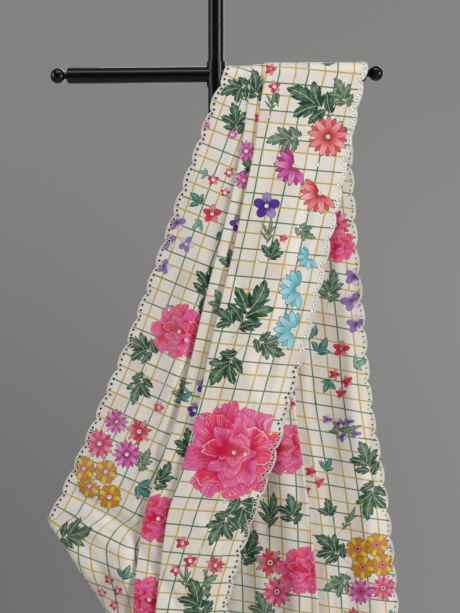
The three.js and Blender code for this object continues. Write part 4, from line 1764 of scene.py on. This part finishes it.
@dataclass(frozen=True)
class Sequin:
    """A mirror disc in its thread ring, with its knot behind the cloth, and how they are sewn.

    ring has the radius and height of each round of thread. The first disc of a border is start
    along it, the others follow apart from each other, and the last is stop before its end. On the
    panel there is one in every row_step rows of points, inset columns or more from its sides.
    """

    sides: int = 10
    mirror: float = 2.7
    dome: float = 0.35
    ring: tuple[tuple[float, float], ...] = ((3.0, 0.75), (3.6, 0.7), (4.0, 0.0))
    knot: float = 1.7
    knot_sides: int = 6
    knot_behind: float = 0.9
    lift: float = 0.3
    from_edge: float = 6.2
    start: float = 6.0
    stop: float = 4.0
    apart: float = 11.4
    first_row: int = 10
    last_row: int = 6
    row_step: int = 22
    inset: int = 12
    smallest_bloom: float = 9.0
    below_arm: float = 3.0


class Slot(Enum):
    """The materials of a sequin, by their place on its mesh."""

    MIRROR = 0
    THREAD = 1
    KNOT = 2
    # Mirror faces painted dark: a painted reflection of the dark room.
    PAINTED_DARK = 3


Place = tuple[Array, Array, bool]


class Sequins:
    """Sews mirror discs on the cloth. A place is a point, a normal and whether its mirror has the
    painted dark reflection.
    """

    def __init__(self, sewing: bpy.types.Material) -> None:
        """Makes the disc's form and finishes.

        Args:
            sewing: The thread of the rings.
        """
        self.sizes = Sequin()
        self.points, self.faces, self.slots = self._disc()
        # The mirror comes in a near-white copy, a painted bright reflection, and a dark copy, a
        # painted reflection of the dark room.
        looks = (PAINTED_BRIGHT_MIRROR, DARK_THREAD, PAINTED_DARK_MIRROR)
        painted_bright, dark, painted_dark = (look.material() for look in looks)
        self.materials = (painted_bright, sewing, dark, painted_dark)

    def _disc(self) -> tuple[Array, list[list[int]], list[Slot]]:
        """One mirror disc in its thread ring, with the knot on the cloth's other side.

        Returns:
            Its points in millimetres, flat on XY, its faces and the material of each face.
        """
        sizes = self.sizes
        bm = bmesh.new()
        disc = bmesh.ops.create_circle(
            bm, cap_ends=True, cap_tris=True, segments=sizes.sides, radius=sizes.mirror
        )["verts"]
        for vert in disc:
            if vert.co.length < sizes.mirror / 2:
                vert.co.z = sizes.dome
        grown = list({edge for vert in disc for edge in vert.link_edges if edge.is_boundary})
        for radius, height in sizes.ring:
            made = bmesh.ops.extrude_edge_only(bm, edges=grown)["geom"]
            grown = [item for item in made if isinstance(item, bmesh.types.BMEdge)]
            for vert in (item for item in made if isinstance(item, bmesh.types.BMVert)):
                away = vert.co.xy.normalized() * radius
                vert.co = Vector((away.x, away.y, height))
        knot = bmesh.ops.create_circle(
            bm, cap_ends=True, segments=sizes.knot_sides, radius=sizes.knot
        )["verts"]
        for vert in knot:
            vert.co.z = -sizes.knot_behind
        bmesh.ops.recalc_face_normals(bm, faces=bm.faces)
        bm.verts.index_update()
        points = np.array([vert.co[:] for vert in bm.verts])
        faces = [[vert.index for vert in face.verts] for face in bm.faces]
        slots = [self._slot(face.calc_center_median()) for face in bm.faces]
        bm.free()
        return points, faces, slots

    def _slot(self, middle: Vector) -> Slot:
        """The material of a face of the disc, by its middle."""
        if middle.z < 0:
            return Slot.KNOT
        return Slot.THREAD if middle.xy.length > self.sizes.mirror else Slot.MIRROR

    def places(self, spec: PanelSpec, grid: ClothGrid) -> list[Place]:
        """Where discs are sewn on one piece of cloth.

        Args:
            spec: The piece.
            grid: Its points.

        Returns:
            The places along its border, thinly over it and in the middle of its flowers.
        """
        if spec.panel is Panel.PLEATS:
            return self._flower_eyes(spec, grid)
        normals = unit(np.cross(np.gradient(grid.points, axis=1), np.gradient(grid.points, axis=0)))
        found = self._along_border(spec, grid, normals)
        rng = np.random.default_rng(spec.seed)
        rows, columns = grid.points.shape[:2]
        sizes = self.sizes
        for row in range(sizes.first_row, rows - sizes.last_row, sizes.row_step):
            column = int(rng.integers(sizes.inset, columns - sizes.inset))
            found.append((grid.points[row, column], normals[row, column], False))
        return found + self._flower_eyes(spec, grid)

    def _along_border(self, spec: PanelSpec, grid: ClothGrid, normals: Array) -> list[Place]:
        """Evenly spaced places along one scalloped selvedge."""
        sizes = self.sizes
        left = spec.panel is Panel.LEFT
        rows, columns = grid.points.shape[:2]
        line, turned = np.empty((rows, 3)), np.empty((rows, 3))
        for j in range(rows):
            inside = grid.cloth[j, :, 2] if left else grid.cloth[j, ::-1, 2]
            at = np.interp(sizes.from_edge, inside, np.arange(columns))
            at = at if left else columns - 1 - at
            k = int(min(columns - 2, max(0, math.floor(at))))
            line[j] = grid.points[j, k] + (grid.points[j, k + 1] - grid.points[j, k]) * (at - k)
            turned[j] = normals[j, k]
        lengths = np.concatenate([[0.0], np.cumsum(np.linalg.norm(np.diff(line, axis=0), axis=1))])
        # Mirrors of a left edge, and of a right edge low enough, are painted dark: a painted
        # reflection.
        low = line[:, 2].max() - spec.painted_dark_below
        found: list[Place] = []
        for place in np.arange(sizes.start, lengths[-1] - sizes.stop, sizes.apart):
            point, normal = (
                np.array([np.interp(place, lengths, values[:, c]) for c in range(3)])
                for values in (line, turned)
            )
            found.append((point, normal, left or point[2] < low))
        return found

    def _flower_eyes(self, spec: PanelSpec, grid: ClothGrid) -> list[Place]:
        """Places in the middle of each flower that shows on a panel."""
        return [
            (*grid.surface(spot.x, spot.drop), False)
            for spot in spec.spots
            if MOTIFS[spot.kind].layers != LEAVES
            and spot.radius > self.sizes.smallest_bloom
            and spot.drop > self.sizes.below_arm
            and grid.shows(spot.x, spot.drop)
        ]

    def sew(self, name: str, places: list[Place]) -> bpy.types.Object:
        """Joins a copy of the disc at every place into one mesh.

        Args:
            name: The mesh's name.
            places: The places.

        Returns:
            The object.
        """
        points: list[Array] = []
        faces: list[list[int]] = []
        slots: list[int] = []
        for point, normal, painted_dark in places:
            turn = Vector((0, 0, 1)).rotation_difference(Vector(normal)).to_matrix()
            start = len(points) * len(self.points)
            points.append(self.points @ np.array(turn).T + point + normal * self.sizes.lift)
            faces.extend([index + start for index in face] for face in self.faces)
            # Mirror faces at such places take the dark copy, a painted reflection of the dark room.
            looks = (Slot.PAINTED_DARK if painted_dark and slot is Slot.MIRROR else slot for slot in self.slots)
            slots.extend(slot.value for slot in looks)
        mesh = bpy.data.meshes.new(name)
        mesh.from_pydata((np.concatenate(points) * MM).tolist(), [], faces)
        made = put(mesh, *self.materials)
        mesh.polygons.foreach_set("material_index", np.array(slots, np.int32))
        mesh.polygons.foreach_set("use_smooth", np.ones(len(faces), bool))
        mesh.update()
        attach(made, "root")
        return made


@dataclass(frozen=True)
class Edging:
    """The thread round a scalloped edge. Its radius is in millimetres and weld in metres."""

    sides: int = 6
    radius: float = 0.75
    weld: float = 0.00001

    def sew(self, name: str, edge: Array, look: bpy.types.Material) -> bpy.types.Object:
        """Wraps the thread round an edge.

        Args:
            name: The mesh's name.
            edge: The points of the edge.
            look: The thread's material.

        Returns:
            The object.
        """
        along = unit(np.gradient(edge, axis=0))
        out = unit(np.cross(along, np.array([0.0, 1.0, 0.0])))
        up = np.cross(along, out)
        turns = np.linspace(0, 2 * math.pi, self.sides + 1)[None, :, None]
        ring = out[:, None] * np.cos(turns) + up[:, None] * np.sin(turns)
        mesh = grid_mesh(name, edge[:, None] + ring * self.radius)
        bm = bmesh.new()
        bm.from_mesh(mesh)
        bmesh.ops.remove_doubles(bm, verts=bm.verts, dist=self.weld)
        bmesh.ops.holes_fill(bm, edges=bm.edges, sides=self.sides)
        bmesh.ops.recalc_face_normals(bm, faces=bm.faces)
        bm.to_mesh(mesh)
        bm.free()
        made = put(mesh, look)
        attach(made, "root")
        return made


class Saree:
    """The cloth and what is sewn on it."""

    def __init__(self, drape: Drape) -> None:
        """Makes the finishes that the pieces share."""
        self.drape = drape
        self.silk = Silk().material()
        self.thread = WHITE_THREAD.material()
        self.sequins = Sequins(self.thread)

    def build(self) -> None:
        """Builds every panel, its border's thread and its mirror discs."""
        for spec in PANELS:
            grid = ClothGrid(self.drape, spec.panel, spec.back)
            cloth = self._panel(spec, grid)
            if spec.panel is not Panel.PLEATS:
                edge = grid.points[:, 0] if spec.panel is Panel.LEFT else grid.points[:, -1]
                Edging().sew(spec.name.replace("silk", "thread"), edge, self.thread)
            places = self.sequins.places(spec, grid)
            if places:
                self.sequins.sew(spec.name.replace("silk", "mirrors"), places)
            width, length = self._flat_size(grid)
            faces = len(cloth.data.polygons)
            LOG.info("%s: %d faces, flat %.2f by %.2f m", spec.name, faces, width, length)

    def _flat_size(self, grid: ClothGrid) -> tuple[float, float]:
        """The mean width and length of a panel's points, in metres."""
        across = np.linalg.norm(np.diff(grid.points, axis=1), axis=2).sum(axis=1).mean()
        along = np.linalg.norm(np.diff(grid.points, axis=0), axis=2).sum(axis=0).mean()
        return float(across) * MM, float(along) * MM

    def _panel(self, spec: PanelSpec, grid: ClothGrid) -> bpy.types.Object:
        """Makes one panel as a thin shell with its print."""
        mesh = grid_mesh(spec.name, grid.points)
        order = np.empty(len(mesh.loops), np.int32)
        mesh.loops.foreach_get("vertex_index", order)
        cloth = mesh.attributes.new("cloth", "FLOAT_VECTOR", "POINT")
        cloth.data.foreach_set("vector", grid.cloth.astype(np.float32).ravel())
        design = Print(grid, order.reshape(-1, 4))
        for spot in spec.spots:
            design.add(spot)
        design.fill(spec.seed)
        design.write(mesh)
        made = put(mesh, self.silk)
        shell = made.modifiers.new("thickness", "SOLIDIFY")
        shell.thickness = self.drape.sizes.thickness * MM
        shell.offset = 0.0
        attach(made, "root")
        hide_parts(*spec.nodes)
        return made


class Stand:
    """The display stand, whose solids stay as they are."""

    NODES = (
        "base_plate", "base_collar", "post", "cross_hub", "left_arm", "right_arm",
        "left_finial", "right_finial", "top_finial",
    )

    def dress(self, nodes: dict[str, bpy.types.Object]) -> None:
        """Gives every node of the stand the gloss finish."""
        gloss = ENAMEL.material()
        for name in self.NODES:
            mesh = nodes[name].data
            mesh.materials.clear()
            mesh.materials.append(gloss)
            LOG.info("%s: enamelled", name)


class Lamp(NamedTuple):
    """A soft rectangular lamp: where it stands, its size in metres, its power and its aim."""

    name: str
    place: tuple[float, float, float]
    size: tuple[float, float]
    watts: float
    aim: tuple[float, float, float]


LAMPS = (
    Lamp("key", (2.6, -1.9, 1.4), (1.3, 2.2), 60.0, (0.05, 0.0, 1.0)),
    Lamp("fill", (-2.9, -1.2, 1.8), (1.6, 2.4), 34.0, (0.0, 0.0, 1.0)),
    Lamp("top", (0.2, -1.6, 3.6), (2.4, 1.4), 34.0, (0.0, 0.0, 1.0)),
    Lamp("behind", (0.4, 2.6, 2.2), (2.0, 2.0), 30.0, (0.1, 0.0, 1.0)),
)


@dataclass(frozen=True)
class Studio:
    """Floor, light and camera, as in the photograph. Lengths are metres, the azimuth degrees."""

    distance: float = 3.5
    azimuth: float = 3.5
    aim: tuple[float, float, float] = (0.028, 0.0, 1.036)
    lens: float = 102.8
    floor_radius: float = 2.2
    floor_sides: int = 96

    def build(self) -> None:
        """Builds the floor, the world, the lamps and the camera."""
        bpy.context.scene.view_settings.view_transform = "Standard"
        self._floor()
        self._world()
        for lamp in LAMPS:
            self._lamp(lamp)
        self._camera()

    def _floor(self) -> None:
        """A plain pale floor."""
        bm = bmesh.new()
        bmesh.ops.create_circle(
            bm, cap_ends=True, segments=self.floor_sides, radius=self.floor_radius
        )
        mesh = bpy.data.meshes.new("floor")
        bm.to_mesh(mesh)
        bm.free()
        put(mesh, PALE_FLOOR.material())

    def _world(self) -> None:
        """Grey all round, lighter to the right, with the dark room on the camera's side."""
        world = bpy.data.worlds.new("studio")
        bpy.context.scene.world = world
        world.use_nodes = True
        tree = world.node_tree
        way = Wire(tree.nodes.new("ShaderNodeTexCoord").outputs["Generated"])
        x, y, z = split(way)
        left = blend(z.above(-0.17, 0.14), rgba("6c6a6b"), rgba("838280"))
        right = blend(z.above(-0.02, 0.17), rgba("949492"), rgba("858583"))
        grey = blend(x.above(-0.3, 0.3), left, right)
        colour = blend(y.above(0.2, -0.5), grey, rgba("48484a"))
        plug(tree.nodes["Background"].inputs["Color"], colour)

    def _place(self, data: bpy.types.ID, place: Vector, aim: Vector) -> bpy.types.Object:
        """Links a lamp or camera that stands at a place and points at its aim."""
        made = bpy.data.objects.new(data.name, data)
        bpy.context.scene.collection.objects.link(made)
        made.location = place
        made.rotation_euler = (aim - place).to_track_quat("-Z", "Y").to_euler()
        return made

    def _lamp(self, lamp: Lamp) -> None:
        """Adds one lamp."""
        data = bpy.data.lights.new(lamp.name, "AREA")
        data.shape = "RECTANGLE"
        data.size, data.size_y = lamp.size
        data.energy = lamp.watts
        self._place(data, Vector(lamp.place), Vector(lamp.aim))

    def _camera(self) -> None:
        """A long lens, level with the middle of the photograph."""
        data = bpy.data.cameras.new("camera")
        data.lens = self.lens
        turn = math.radians(self.azimuth)
        aim = Vector(self.aim)
        place = aim + Vector((math.sin(turn), -math.cos(turn), 0.0)) * self.distance
        bpy.context.scene.camera = self._place(data, place, aim)


def main() -> None:
    """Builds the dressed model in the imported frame."""
    logging.basicConfig(level=logging.INFO, format="%(name)s: %(message)s")
    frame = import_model()
    Studio().build()
    Stand().dress(frame["nodes"])
    Saree(Drape(ClothSizes.from_frame())).build()


if __name__ == "__main__":
    main()
